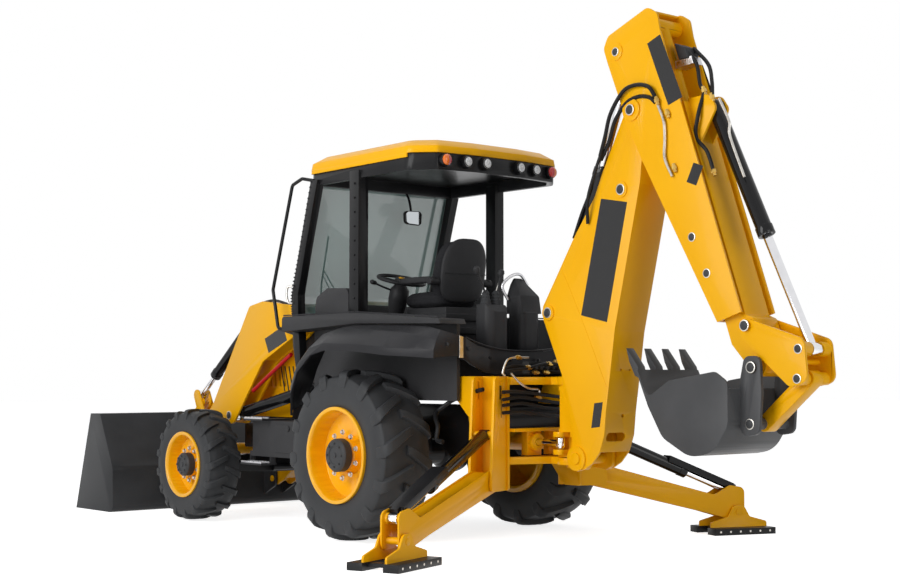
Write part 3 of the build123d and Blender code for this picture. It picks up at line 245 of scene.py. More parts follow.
def dressed(node, material, width=0.003):
    """A copy of a solid with its flat faces joined and its sharp edges rounded to width, in the solid's place."""
    source = nodes[node]
    work = bmesh.new()
    work.from_mesh(source.data)
    bmesh.ops.remove_doubles(work, verts=work.verts, dist=2e-5)
    bmesh.ops.dissolve_limit(work, angle_limit=0.02, verts=work.verts, edges=work.edges)
    mesh = bpy.data.meshes.new(node + "_finished")
    work.to_mesh(mesh)
    work.free()
    mesh.materials.append(material)
    mesh.polygons.foreach_set("use_smooth", np.ones(len(mesh.polygons), bool))
    piece = bpy.data.objects.new(node + "_finished", mesh)
    scene.collection.objects.link(piece)
    edge = piece.modifiers.new("edges", "BEVEL")
    edge.width, edge.segments, edge.limit_method, edge.angle_limit = width, 2, "ANGLE", 0.6
    edge.harden_normals = True
    edge.use_clamp_overlap = True
    source.data.materials.clear()
    source.data.materials.append(material)
    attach(piece, source["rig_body"])
    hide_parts(node)
    return piece


# ---------------------------------------------------------------- chassis steelwork
# Two side rails with the loader towers, the rear frame, the axles and the engine are welded and cast steel.
# Rear frame and towers are yellow; the rails, axles and knuckles are black.
dressed("main_frame", black_paint)
dressed("rear_frame", yellow, 0.004)
for name in ("rear_axle", "front_axle", "knuckle_left", "knuckle_right"):
    dressed(name, black_paint, 0.006)
dressed("engine", iron, 0.02)
dressed("swing_ram_barrels", yellow, 0.004)
dressed("kingpost", yellow, 0.004)

rear_low, rear_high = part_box("tyre_rear_left")
axle_x = (rear_low[0] + rear_high[0]) / 2


def at(x, y, z):
    """A point from its distance ahead of the rear axle, its distance left of the middle and its height."""
    return np.array((x + axle_x, y, z), float)


def net_faces(rows, columns, wrap_rows=False, wrap_columns=True):
    """The four-sided faces between neighbours of a net of rows by columns points, numbered row by row."""
    i, j = np.meshgrid(np.arange(rows - (not wrap_rows)), np.arange(columns - (not wrap_columns)), indexing="ij")
    i_next, j_next = (i + 1) % rows, (j + 1) % columns
    corners = (i * columns + j, i * columns + j_next, i_next * columns + j_next, i_next * columns + j)
    return np.stack(corners, -1).reshape(-1, 4).tolist()


def capped(net):
    """A net of rows of closed loops as points and faces, with a face over its first and its last loop."""
    rows, columns = net.shape[:2]
    ends = [list(range(columns)), list(range((rows - 1) * columns, rows * columns))]
    return net.reshape(-1, 3), net_faces(rows, columns) + ends


def across(direction):
    """Two unit vectors square to a direction and to each other."""
    direction = np.asarray(direction, float) / np.linalg.norm(direction)
    helper = np.eye(3)[np.argmin(np.abs(direction))]
    first = np.cross(direction, helper)
    first /= np.linalg.norm(first)
    return direction, first, np.cross(direction, first)


def turned(rows, centre, axis, sides=32):
    """A body of revolution: point = centre + along * axis + radius * (cos a, sin a) across it, for each row of
    (along, radius) and a once round."""
    axis, first, second = across(axis)
    along, radius = np.array(rows, float).T
    angle = np.linspace(0, 2 * np.pi, sides, endpoint=False)
    circle = np.cos(angle)[:, None] * first + np.sin(angle)[:, None] * second
    net = np.asarray(centre) + along[:, None, None] * axis + radius[:, None, None] * circle
    return capped(net)


def smooth_line(route, fine=8):
    """Points on a Catmull-Rom line through the route, fine to a span."""
    route = np.asarray(route, float)
    ends = np.vstack([2 * route[:1] - route[1:2], route, 2 * route[-1:] - route[-2:-1]])
    a, b, c, d = ends[:-3, None], ends[1:-2, None], ends[2:-1, None], ends[3:, None]
    t = np.linspace(0, 1, fine, endpoint=False)[None, :, None]
    line = 0.5 * (2 * b + (c - a) * t + (2 * a - 5 * b + 4 * c - d) * t**2 + (3 * b - a - 3 * c + d) * t**3)
    return np.vstack([line.reshape(-1, 3), route[-1:]])


def swept(route, radius, sides=12, fine=8):
    """A round tube: point = line(s) + radius * (cos a * normal + sin a * binormal).  The frame is turned by the
    direction in which the line spreads least, so that it never twists."""
    line = smooth_line(route, fine)
    tangent = np.gradient(line, axis=0)
    tangent /= np.linalg.norm(tangent, axis=1)[:, None]
    still = np.linalg.svd(line - line.mean(0))[2][2]
    normal = np.cross(tangent, still)
    normal /= np.linalg.norm(normal, axis=1)[:, None]
    binormal = np.cross(tangent, normal)
    angle = np.linspace(0, 2 * np.pi, sides, endpoint=False)
    circle = np.cos(angle)[:, None] * normal[:, None] + np.sin(angle)[:, None] * binormal[:, None]
    return capped(line[:, None] + radius * circle)


def slab(corners, depth):
    """A flat plate: the closed outline of corners, thickened by the vector depth."""
    corners = np.asarray(corners, float)
    return capped(np.stack([corners, corners + np.asarray(depth, float)]))


def joined(*parts):
    """Several sets of points and faces as one set."""
    starts = np.cumsum([0] + [len(points) for points, _ in parts[:-1]])
    faces = [[int(k + start) for k in face] for start, (_, some) in zip(starts, parts) for face in some]
    return np.vstack([points for points, _ in parts]), faces


def made(name, shape, material, body, edge=0.0, sharp=35):
    """A finished piece from points and faces, its doubles merged and its faces turned outwards, riding on a body.
    edge is the width its sharp edges are rounded to; a body given as anything but a name leaves it fixed where it
    stands, on no body."""
    mesh = bpy.data.meshes.new(name)
    mesh.from_pydata(shape[0].tolist(), [], shape[1])
    work = bmesh.new()
    work.from_mesh(mesh)
    bmesh.ops.remove_doubles(work, verts=work.verts, dist=1e-6)
    bmesh.ops.recalc_face_normals(work, faces=work.faces)
    work.to_mesh(mesh)
    work.free()
    mesh.materials.append(material)
    mesh.polygons.foreach_set("use_smooth", np.ones(len(mesh.polygons), bool))
    mesh.set_sharp_from_angle(angle=np.radians(sharp))
    piece = bpy.data.objects.new(name, mesh)
    scene.collection.objects.link(piece)
    if edge:
        rounding = piece.modifiers.new("edges", "BEVEL")
        rounding.width, rounding.segments, rounding.limit_method, rounding.angle_limit = edge, 2, "ANGLE", 0.6
        rounding.harden_normals = True
    if isinstance(body, str):
        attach(piece, body)
    else:
        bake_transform(piece)
    return piece


def bolt(place, axis, size=0.012):
    """A hexagon head on a round washer, size being the head's radius."""
    washer = turned([(-0.002, size * 1.3), (0.002, size * 1.3), (0.003, size * 1.2)], place, axis, 18)
    head = turned([(0, size), (size * 0.9, size), (size * 1.1, size * 0.8)], place, axis, 6)
    return joined(washer, head)


def ring_of(part, centre, axis, count, *measures):
    """Copies of a bolt or other small part on a circle; measures are the circle's radius and the part's size."""
    axis, first, second = across(axis)
    angles = np.arange(count) * 2 * np.pi / count
    spots = [centre + measures[0] * (np.cos(a) * first + np.sin(a) * second) for a in angles]
    return joined(*[part(spot, axis, measures[1]) for spot in spots])


# ---------------------------------------------------------------- wheels
# Rear and front tyres are cross-ply industrial rubber with two rows of open lugs, moulded in one with the
# casing.  Each sits on a pressed yellow rim, bolted through a ring of nuts to a dark cast hub.
tyre_rubber = finish("tyre_rubber", (0.050, 0.052, 0.055), (0.034, 0.035, 0.037), (0.42, 0.6), 6, 1.5,
                     700, 0.12)
rim_yellow = finish("rim_yellow", (0.98, 0.50, 0.004), (0.93, 0.43, 0.003), (0.2, 0.3), 3, 1.2, 420,
                    0.03, coat=0.5)


def tyre_shape(centre, side, radius, half, bead, rise, lug_count, reach, lug_width, lean):
    """The casing is its section turned about the axle.  A lug is a short block swept from the middle of the tread
    to the shoulder and a little down the wall: point = axle + r (sin a, cos a) at each station, with a leaning
    back as it goes outwards.  side is 1 on the left and -1 on the right."""
    wall = radius - bead
    tread = radius - rise
    section = [
        (0.74 * half, bead - 0.004), (0.80 * half, bead + 0.01), (0.91 * half, bead + 0.06 * wall),
        (0.975 * half, bead + 0.30 * wall), (0.985 * half, bead + 0.50 * wall), (0.955 * half, bead + 0.66 * wall),
        (0.90 * half, bead + 0.78 * wall), (0.80 * half, tread - 0.012), (0.5 * half, tread + 0.002),
               (0, tread + 0.004),
    ]
    section = np.array(section + [(-y, r) for y, r in section[-2::-1]])
    line = smooth_line(np.c_[section, np.zeros(len(section))], 4)[:, :2]
    sides = 112
    angle = np.linspace(0, 2 * np.pi, sides, endpoint=False)
    circle = np.stack([np.sin(angle), 0 * angle, np.cos(angle)], -1)
    casing = centre + line[:, :1, None] * (0, side, 0) + line[:, 1:, None] * circle
    shell = (casing.reshape(-1, 3), net_faces(len(line), sides, True, True))

    share = np.array([0, 0.10, 0.25, 0.42, 0.60, 0.76, 0.88, 0.95, 0.985, 1.0, 1.0, 0.995])
    drop = np.array([6, 1, 0, 1, 3, 7, 14, 28, 48, 72, 96, 112]) / 1000 * rise / 0.036
    tip_y, tip_r = half * (-reach + (1 + reach) * share), radius - 0.003 - drop
    foot_y = np.where(share < 0.9, tip_y, half * 0.88)
    foot_r = np.where(share < 0.9, tread - 0.015, tip_r - 0.012)
    back = lean[0] - lean[1] * share**1.15
    breadth = np.interp(share, [0, 0.5, 1], lug_width)
    breadth[-1] *= 0.8
    spread = np.array([-0.62, -0.52, -0.44, 0.44, 0.52, 0.62])
    lift = np.array([0, 0.86, 1, 1, 0.86, 0])
    y = foot_y[:, None] + (tip_y - foot_y)[:, None] * lift
    r = foot_r[:, None] + (tip_r - foot_r)[:, None] * lift
    run = (back[:, None] + breadth[:, None] * spread) / radius
    starts = np.arange(lug_count) * 2 * np.pi / lug_count
    lugs = []
    for row in (1, -1):
        turn = starts[:, None, None] + run + (0 if row > 0 else np.pi / lug_count)
        net = np.stack([r * np.sin(turn), row * side * y + 0 * turn, r * np.cos(turn)], -1) + centre
        lugs += [capped(lug) for lug in net]
    return joined(shell, *lugs)


wheel_rows = (
    # end, lugs in a row, reach over the middle, lug widths, lean at the middle and its run, rise, hub, nut circle
    ("rear", 14, 0.12, (0.062, 0.074, 0.092), (0.056, 0.150), 0.042, 0.122, 0.168),
    ("front", 17, 0.10, (0.036, 0.044, 0.056), (0.028, 0.075), 0.028, 0.097, 0.134),
)
for end, lug_count, reach, lug_width, lean, rise, hub_radius, nut_circle in wheel_rows:
    for hand, side in both_hands:
        low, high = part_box(f"tyre_{end}_{hand}")
        rim_low, rim_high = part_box(f"rim_{end}_{hand}")
        middle = (np.array(low) + np.array(high)) / 2
        radius, half = (high[0] - low[0]) / 2, (high[1] - low[1]) / 2
        bead = (rim_high[0] - rim_low[0]) / 2 - 0.018
        body = f"{end}_wheel_{hand}"
        shape = tyre_shape(middle, side, radius, half, bead, rise, lug_count, reach, lug_width, lean)
        tyre = made(f"tyre_{end}_{hand}_tread", shape, tyre_rubber, body, sharp=28)
        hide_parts(f"tyre_{end}_{hand}")
        dressed(f"rim_{end}_{hand}", rim_yellow, 0.004)
        out = np.array((0, side, 0))
        face = middle * (1, 0, 1) + out * (rim_high[1] if side > 0 else -rim_low[1])
        hub = turned([(-0.075, hub_radius), (-0.018, hub_radius), (-0.004, hub_radius - 0.012),
                      (0, hub_radius - 0.022),
                      (0.0, hub_radius * 0.55), (-0.006, hub_radius * 0.52), (-0.006, 0.02), (0.002, 0.016),
                      (0.002, 0)],
                     face, out, 40)
        studs = ring_of(bolt, face, out, 8, hub_radius * 0.7, 0.008)
        made(f"hub_{end}_{hand}", joined(hub, studs), grey_paint, body, 0.0015)
        disc = face - out * 0.078
        nuts = ring_of(bolt, disc, out, 10, nut_circle, 0.015)
        made(f"nuts_{end}_{hand}", nuts, steel, body)

# ---------------------------------------------------------------- tanks and steps
# A moulded tank and tool box hangs beside each rail.  Its top is the upper tread and a bracket carries the lower
# one; both treads are capped with a bright strip that has a toothed edge.
moulded = finish("moulded_plastic", (0.042, 0.042, 0.044), (0.028, 0.028, 0.030), (0.42, 0.55), 5,
                 1.5, 900, 0.25)
tread_steel = finish("tread_steel", (0.72, 0.72, 0.74), (0.50, 0.50, 0.52), (0.25, 0.4), 30, 2.5, 120, 0.5,
                     metallic=1.0)
dressed("side_tanks", moulded, 0.012)


def toothed(start, end, width, height, pitch=0.022):
    """A strip from start to end whose upper edge runs in square teeth: height * (1 + 0.35 * sign(sin))."""
    start, end = np.asarray(start, float), np.asarray(end, float)
    length = np.linalg.norm(end - start)
    along = np.linspace(0, length, int(length / pitch * 4) + 1)
    rise = height * (0.75 + 0.25 * np.sign(np.sin(2 * np.pi * along / pitch + 0.1)))
    run = start + along[:, None] / length * (end - start)
    lower = run - np.array((0, 0, height * 0.3))
    outline = np.vstack([run + rise[:, None] * (0, 0, 1), lower[::-1]])
    return slab(outline, width)


for hand, side in both_hands:
    treads = []
    for rear, front, z, inner_tooth, inner in ((1.235, 1.495, 0.866, 0.862, 0.86),
                                               (1.245, 1.535, 0.512, 0.850, 0.79)):
        treads += [toothed(at(rear, side * y, z), at(front, side * y, z), (0, side * 0.006, 0), 0.014)
                   for y in (0.922, inner_tooth)]
        treads.append(slab([at(rear, side * 0.928, z), at(front, side * 0.928, z), at(front, side * inner, z),
                            at(rear, side * inner, z)], (0, 0, 0.003)))
    made(f"treads_{hand}", joined(*treads), tread_steel, "chassis", 0.001)
    lid = slab([at(0.80, side * 0.842, 0.60), at(1.16, side * 0.842, 0.60), at(1.16, side * 0.842, 0.82),
                at(0.80, side * 0.842, 0.82)], (0, side * 0.006, 0))
    latch = turned([(0, 0.022), (0.008, 0.022), (0.012, 0.016), (0.012, 0)], at(0.98, side * 0.848, 0.79),
                   (0, side, 0), 20)
    made(f"tank_lid_{hand}", joined(lid, latch), moulded, "chassis", 0.004)

# ---------------------------------------------------------------- platform and fenders
# The platform is a moulded and pressed black floor with a raised sill on each side; big smooth fenders and the
# curved rear apron are bolted to it, and a chequered edge strip runs along the seam.
fender_skin = finish("fender_skin", (0.026, 0.026, 0.029), (0.018, 0.018, 0.020), (0.32, 0.42), 3,
                     1.3, 1200, 0.12)
dressed("platform", moulded, 0.008)
dressed("fenders", fender_skin, 0.006)
for hand, side in both_hands:
    sills = [toothed(at(rear, side * 0.858, low), at(front, side * 0.858, high), (0, side * 0.004, 0), 0.008, 0.016)
             for rear, low, front, high in ((-0.875, 1.621, -0.32, 1.659), (-0.31, 1.660, 0.09, 1.686),
                                            (0.10, 1.686, 1.04, 1.686))]
    made(f"sill_edge_{hand}", joined(*sills), fender_skin, "chassis")
    strip = slab([at(-0.912, side * 0.655, 1.335), at(-0.912, side * 0.690, 1.335), at(-0.912, side * 0.690, 1.492),
                  at(-0.912, side * 0.655, 1.484)], (0.008, 0, 0))
    made(f"joint_strip_{hand}", strip, steel, "chassis", 0.002)
share = np.linspace(-1, 1, 61)
rim_y = 0.62 * share
rim_x = -0.808 - 0.088 * np.abs(share) ** 1.6
rim_z = 1.394 + 0.088 * np.abs(share) ** 2.2
seam = np.stack([rim_x + axle_x, rim_y, rim_z], -1)
made("apron_edge", swept(seam[::3], 0.006, 8, 3), fender_skin, "chassis")
apron_bolts = [bolt(at(x, y, z), (-1, 0.3 * np.sign(y), 0), 0.012)
               for x, y, z in ((-0.906, 0.60, 1.40), (-0.906, 0.80, 1.43), (-0.868, 0.36, 1.34),
                               (-0.840, 0.14, 1.325),
                               (-0.906, -0.60, 1.40), (-0.868, -0.36, 1.34), (-0.840, -0.14, 1.325))]
made("apron_bolts", joined(*apron_bolts), black_paint, "chassis")

# ---------------------------------------------------------------- canopy
# Black steel posts carry a deep fascia with round lamps sunk in it, and a pressed yellow roof sits on top.  The
# mirror tube, the inside mirror and the wiper are black; the posts carry bolts and a grip strip.
dressed("canopy_frame", black_paint, 0.006)
dressed("roof", yellow, 0.012)
dressed("work_lamps", black_paint, 0.004)
lamp_glass = finish("lamp_glass", (0.86, 0.87, 0.88), (0.55, 0.57, 0.58), (0.08, 0.2), 90, 3.5, 160, 0.9,
                    coat=1.0)
amber_lens = finish("amber_lens", (0.95, 0.22, 0.004), (0.75, 0.12, 0.002), (0.1, 0.2), 60, 2.0, 220, 0.7,
                    coat=1.0)
red_lens = finish("red_lens", (0.60, 0.008, 0.012), (0.36, 0.003, 0.006), (0.1, 0.2), 60, 2.0, 220, 0.7,
                  coat=1.0)
lens_rows = [(0, 0.040), (0.006, 0.040), (0.012, 0.033), (0.016, 0.02), (0.0175, 0.0)]
ring_rows = [(-0.01, 0.048), (0.010, 0.047), (0.012, 0.044), (0.008, 0.041), (-0.01, 0.041)]
for x, y, direction in ((-0.636, 0.172, -1), (-0.623, 0.349, -1), (0.968, 0.26, 1), (0.963, 0.47, 1)):
    for side in (1, -1):
        place = at(x, side * y, 2.790) - np.array((direction * 0.012, 0, 0))
        name = f"{'rear' if direction < 0 else 'front'}_{'left' if side > 0 else 'right'}_{round(y * 1000)}"
        made(f"lamp_lens_{name}", turned(lens_rows, place, (direction, 0, 0), 32), lamp_glass, "chassis")
        made(f"lamp_ring_{name}", turned(ring_rows, place, (direction, 0, 0), 32), black_paint, "chassis")
for side in (1, -1):
    place = at(-0.592, side * 0.537, 2.790)
    hand = "left" if side > 0 else "right"
    half_turn = np.linspace(0, np.pi, 17)
    for name, flip, material in (("amber", 1, amber_lens), ("red", -1, red_lens)):
        circle = np.stack([np.sin(half_turn) * flip * side, np.cos(half_turn)], -1)
        rows = np.array(lens_rows)
        net = np.stack([place[0] - rows[:, :1] * 1.6 + 0 * circle[:, 0], place[1] + rows[:, 1:] * circle[:, 0] * 1.02,
                        place[2] + rows[:, 1:] * circle[:, 1] * 1.02], -1)
        made(f"signal_{name}_{hand}", capped(net), material, "chassis")
    posts = [at(0.20, side * 0.749, z) for z in np.arange(1.80, 2.70, 0.11)]
    made(f"post_bolts_{hand}", joined(*[bolt(spot + (0.05, 0, 0), (0, side, 0), 0.007) for spot in posts]),
         black_paint, "chassis")
    edge_line = np.array([at(0.968, 0, 1.30), at(1.036, 0, 1.447), at(1.062, 0, 1.62), at(1.092, 0, 1.855),
                          at(0.975, 0, 2.242), at(0.832, 0, 2.75)]) + (0.006, side * 0.738, 0)
    line = smooth_line(edge_line[2:], 12)
    grip = joined(*[turned([(-0.005, 0.009), (0, 0.012), (0.005, 0.009)], spot, (-0.3, 0, 1), 8) for spot in line])
    made(f"post_grip_{hand}", grip, moulded, "chassis")
mirror_glass = finish("mirror_glass", (0.55, 0.58, 0.60), (0.5, 0.53, 0.55), (0.03, 0.05), 3, 1, 30, 0.0,
                      metallic=1.0)
mirror_outline = [(-0.085, -0.05), (-0.09, 0.03), (-0.07, 0.055), (0.07, 0.05), (0.09, 0.03), (0.085, -0.045),
                  (0.06, -0.06), (-0.06, -0.065)]
shell = [at(0.70, y - 0.20, z + 2.52) for y, z in mirror_outline]
made("inside_mirror", joined(slab(shell, (0.035, 0, 0)), swept([at(0.735, -0.20, 2.56), at(0.76, -0.20, 2.66),
     at(0.80, -0.20, 2.73)], 0.010)), black_paint, "chassis", 0.008)
face = [at(0.697, y * 0.9 - 0.20, z * 0.88 + 2.519) for y, z in mirror_outline]
made("inside_mirror_glass", slab(face, (0.004, 0, 0)), mirror_glass, "chassis")

# One sheet of grey-green safety glass stands behind the front posts, with a double-arm wiper on its outside.
tint = bpy.data.materials.new("tinted_glass")
tint.use_nodes = True
tint_tree = tint.node_tree
tint_shader = tint_tree.nodes["Principled BSDF"]
tint_shader.inputs["Roughness"].default_value = 0.03
tint_shader.inputs["Alpha"].default_value = 0.62
tint_shader.inputs["Base Color"].default_value = (0.27, 0.42, 0.39, 1)
nodes["windscreen"].data.materials.clear()
nodes["windscreen"].data.materials.append(tint)
screen_edge = [at(0.842, 0, 2.715), at(0.981, 0, 2.24), at(1.094, 0, 1.855), at(1.063, 0, 1.715)]
for side in (1, -1):
    line = smooth_line(np.array(screen_edge) + (0, side * 0.655, 0), 10)
    made(f"screen_seal_{'left' if side > 0 else 'right'}", swept(line[::4], 0.009, 8, 4), moulded, "chassis")


def on_screen(y, z):
    """A point 9 mm ahead of the glass at that y and height of the machine frame, by linear steps down its edge."""
    heights, depths = [p[2] for p in screen_edge[::-1]], [p[0] for p in screen_edge[::-1]]
    return np.array((np.interp(z, heights, depths) + 0.009, y, z))


wiper = joined(swept([on_screen(0.10, 1.73), on_screen(0.30, 1.90), on_screen(0.46, 2.06)], 0.005),
               swept([on_screen(0.14, 1.73), on_screen(0.33, 1.88), on_screen(0.47, 2.03)], 0.004),
               swept([on_screen(0.46, 1.80), on_screen(0.465, 1.95), on_screen(0.47, 2.06), on_screen(0.475, 2.22),
                      on_screen(0.48, 2.34)], 0.007, 6))
made("wiper", wiper, black_paint, "chassis")
grab = swept([at(1.075, 0.752, 1.93), at(1.105, 0.775, 1.92), at(1.112, 0.78, 1.86), at(1.095, 0.775, 1.80),
              at(1.075, 0.752, 1.79)], 0.009)
made("post_handle", grab, steel, "chassis")

# ---------------------------------------------------------------- seat
# A sprung seat trimmed in dark cloth: a cushion and a tall back of foam, two arm rests, and under it a moulded
# base round the suspension.
seat_cloth = finish("seat_cloth", (0.030, 0.030, 0.033), (0.018, 0.018, 0.020), (0.75, 0.95), 60, 2.5,
                    1500, 0.6)


def pad_shape(centre, size, squareness=5.0, crown=0.0, rows=28, columns=56):
    """A superellipsoid pad: |x/a|^n + |y/b|^n + |z/c|^n = 1 with n = squareness, its top raised in the middle
    by crown."""
    up = np.linspace(-np.pi / 2, np.pi / 2, rows)[:, None]
    turn = np.linspace(0, 2 * np.pi, columns, endpoint=False)[None, :]

    def power(value):
        return np.sign(value) * np.abs(value) ** (2 / squareness)
    x = power(np.cos(up)) * power(np.cos(turn))
    y = power(np.cos(up)) * power(np.sin(turn))
    z = power(np.sin(up)) + 0 * turn
    z = z + crown * np.clip(z, 0, 1) * (1 - x**2) * (1 - y**2)
    net = np.stack([x * size[0], y * size[1], z * size[2]], -1) + np.asarray(centre)
    return net.reshape(-1, 3), net_faces(rows, columns)


def stuffed(piece, cap):
    """Remeshes a pad, blows it up as cloth for 20 frames and holds every point within cap of where it began."""
    remesh = piece.modifiers.new("remesh", "REMESH")
    remesh.mode, remesh.voxel_size = "VOXEL", 0.006
    first = bpy.data.meshes.new_from_object(piece.evaluated_get(bpy.context.evaluated_depsgraph_get()))
    piece.modifiers.clear()
    piece.data = first
    cloth = piece.modifiers.new("cloth", "CLOTH")
    cloth.settings.use_pressure = True
    cloth.settings.uniform_pressure_force = 4
    cloth.settings.effector_weights.gravity = 0
    for step in range(1, 21):
        scene.frame_set(step)
    last = bpy.data.meshes.new_from_object(piece.evaluated_get(bpy.context.evaluated_depsgraph_get()))
    piece.modifiers.clear()
    before, after = np.empty(len(first.vertices) * 3), np.empty(len(first.vertices) * 3)
    first.vertices.foreach_get("co", before)
    last.vertices.foreach_get("co", after)
    move = (after - before).reshape(-1, 3)
    length = np.linalg.norm(move, axis=1)[:, None]
    move *= np.minimum(1, cap / np.maximum(length, 1e-9))
    first.vertices.foreach_set("co", (before.reshape(-1, 3) + move).ravel())
    first.polygons.foreach_set("use_smooth", np.ones(len(first.polygons), bool))
    smooth = piece.modifiers.new("smooth", "SUBSURF")
    smooth.levels = smooth.render_levels = 1
    scene.frame_set(1)


cushion = made("seat_cushion", pad_shape(at(0.115, 0, 1.795), (0.235, 0.225, 0.052), 4.5, 0.25), seat_cloth,
               "chassis")
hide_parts("seat")
back_points, back_faces = pad_shape((0, 0, 0), (0.052, 0.205, 0.235), 5.0)
back_points[:, 1] *= 1 - 0.22 * np.clip(back_points[:, 2] / 0.235, 0, 1) ** 2
back_points[:, 0] += -0.16 * back_points[:, 2] + 0.05 * (back_points[:, 1] / 0.2) ** 2
back = made("seat_back", (back_points + at(-0.108, 0, 2.02), back_faces), seat_cloth, "chassis")
for pad in (cushion, back):
    stuffed(pad, 0.009)
shell_points, shell_faces = pad_shape((0, 0, 0), (0.022, 0.222, 0.245), 3.6)
shell_points[:, 1] *= 1 - 0.20 * np.clip(shell_points[:, 2] / 0.245, 0, 1) ** 2
shell_points[:, 0] += -0.16 * shell_points[:, 2] + 0.45 * shell_points[:, 1] ** 2
seat_shell = (shell_points + at(-0.178, 0, 2.02), shell_faces)
seat_seam = swept([at(-0.178, -0.21, 1.995), at(-0.200, 0, 1.995), at(-0.178, 0.21, 1.995)], 0.004, 6)
made("seat_shell", joined(seat_shell, seat_seam), moulded, "chassis")
for hand, side in both_hands:
    arm_points, arm_faces = pad_shape(at(0.06, side * 0.288, 1.945), (0.205, 0.027, 0.026), 4.0, 0, 12, 40)
    pivot = turned([(0, 0.03), (0.085, 0.03), (0.09, 0.024), (0.09, 0)], at(-0.115, side * 0.228, 1.932),
                   (0, side, 0), 24)
    made(f"arm_rest_{hand}", joined((arm_points, arm_faces), pivot), moulded, "chassis")
dressed("seat_base", moulded, 0.012)

# ---------------------------------------------------------------- controls
# The steering column carries a three-spoke wheel with a yellow boss cap and a stalk; behind the seat stand two
# moulded towers with the digging levers, each lever in a ribbed rubber boot.
dressed("backhoe_controls", moulded, 0.014)
wheel_axis = np.array((-150, 0, 560)) / np.hypot(150, 560)
wheel_centre = at(0.612, 0, 1.985)
axis, wheel_first, wheel_second = across(wheel_axis)
turn = np.linspace(0, 2 * np.pi, 72, endpoint=False)
tube_turn = np.linspace(0, 2 * np.pi, 14, endpoint=False)
ring = (np.cos(turn)[:, None] * wheel_first + np.sin(turn)[:, None] * wheel_second)
torus = wheel_centre + (0.19 + 0.0145 * np.cos(tube_turn))[None, :, None] * ring[:, None] + (
    0.0145 * np.sin(tube_turn)[None, :, None] * wheel_axis)
wheel_rim = (torus.reshape(-1, 3), net_faces(72, 14, True))
spokes = [swept([wheel_centre + wheel_axis * -0.02, wheel_centre + way * 0.09 - wheel_axis * 0.012,
                 wheel_centre + way * 0.187],
                0.014, 10) for way in (wheel_first, -0.5 * wheel_first + 0.866 * wheel_second,
                                       -0.5 * wheel_first - 0.866 * wheel_second)]
hub = turned([(-0.03, 0.05), (0.0, 0.056), (0.014, 0.05), (0.018, 0.03), (0.018, 0)], wheel_centre, wheel_axis, 28)
column = turned([(-0.90, 0.075), (-0.30, 0.062), (-0.16, 0.082), (-0.08, 0.078), (-0.03, 0.04), (-0.02, 0)],
                wheel_centre, wheel_axis, 28)
wheel_piece = made("steering_wheel", joined(wheel_rim, hub, column, *spokes), moulded, "chassis")
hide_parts("steering_column")
cap_rows = [(0.018, 0.026), (0.022, 0.026), (0.025, 0.02), (0.026, 0)]
made("steering_cap", turned(cap_rows, wheel_centre, wheel_axis, 24), yellow, "chassis")
stalk = joined(swept([at(0.66, 0.05, 1.90), at(0.66, 0.16, 1.93), at(0.655, 0.24, 1.955)], 0.008),
               turned([(-0.03, 0.010), (-0.02, 0.017), (0.02, 0.019), (0.03, 0.012), (0.032, 0)],
                      at(0.652, 0.255, 1.96), (-0.1, 1, 0.25), 16))
made("shuttle_stalk", stalk, moulded, "chassis")
lever_rows = (
    # foot x, y; knob x, y, z
    (-0.655, 0.215, -0.685, 0.330, 1.985), (-0.655, 0.115, -0.655, 0.060, 1.975),
)
for number, (foot_x, foot_y, knob_x, knob_y, knob_z) in enumerate(lever_rows, 1):
    foot, knob = at(foot_x, foot_y, 1.733), at(knob_x, knob_y, knob_z)
    lean = knob - foot
    folds = [(0.012 * k, 0.040 - 0.0022 * k + 0.004 * (k % 2)) for k in range(9)]
    boot = turned(folds + [(0.108, 0.012), (0.11, 0)], foot, (0, 0, 1), 24)
    made(f"lever_boot_{number}", boot, tyre_rubber, "chassis")
    rod = swept([foot + (0, 0, 0.09), foot + lean * 0.55 + (0, 0, 0.03), knob], 0.0065)
    made(f"lever_rod_{number}", rod, steel, "chassis")
    knob_rows = [(-0.03, 0.008), (-0.024, 0.018), (0, 0.026), (0.018, 0.022), (0.028, 0.01), (0.03, 0)]
    made(f"lever_knob_{number}", turned(knob_rows, knob, lean, 20), moulded, "chassis")
handrail = swept([at(-0.60, -0.06, 1.78), at(-0.58, -0.02, 1.88), at(-0.60, -0.08, 1.955), at(-0.62, -0.165, 1.975),
                  at(-0.60, -0.26, 1.90)], 0.011)
made("tower_handle", handrail, tread_steel, "chassis")
loader_lever = joined(swept([at(0.30, -0.30, 1.70), at(0.33, -0.30, 1.85), at(0.30, -0.30, 1.96)], 0.010),
                      turned([(-0.05, 0.016), (-0.02, 0.022), (0.03, 0.025), (0.05, 0.015), (0.052, 0)],
                             at(0.30, -0.30, 1.985), (-0.1, 0, 1), 18))
made("loader_lever", loader_lever, moulded, "chassis")

# ---------------------------------------------------------------- bonnet
# A one-piece pressed cover in yellow with a black grille of flat bars in its nose, louvres in its flanks and
# two head lamps.
skins = {}


def on_skin(node, place, direction):
    """The first point of a solid's surface on the line from place along direction, or place where there is none."""
    if node not in skins:
        mesh = nodes[node].data
        skins[node] = BVHTree.FromPolygons([v.co.copy() for v in mesh.vertices],
                                           [list(p.vertices) for p in mesh.polygons])
    hit = skins[node].ray_cast(Vector(place), Vector(direction).normalized())[0]
    return np.array(place if hit is None else hit, float)


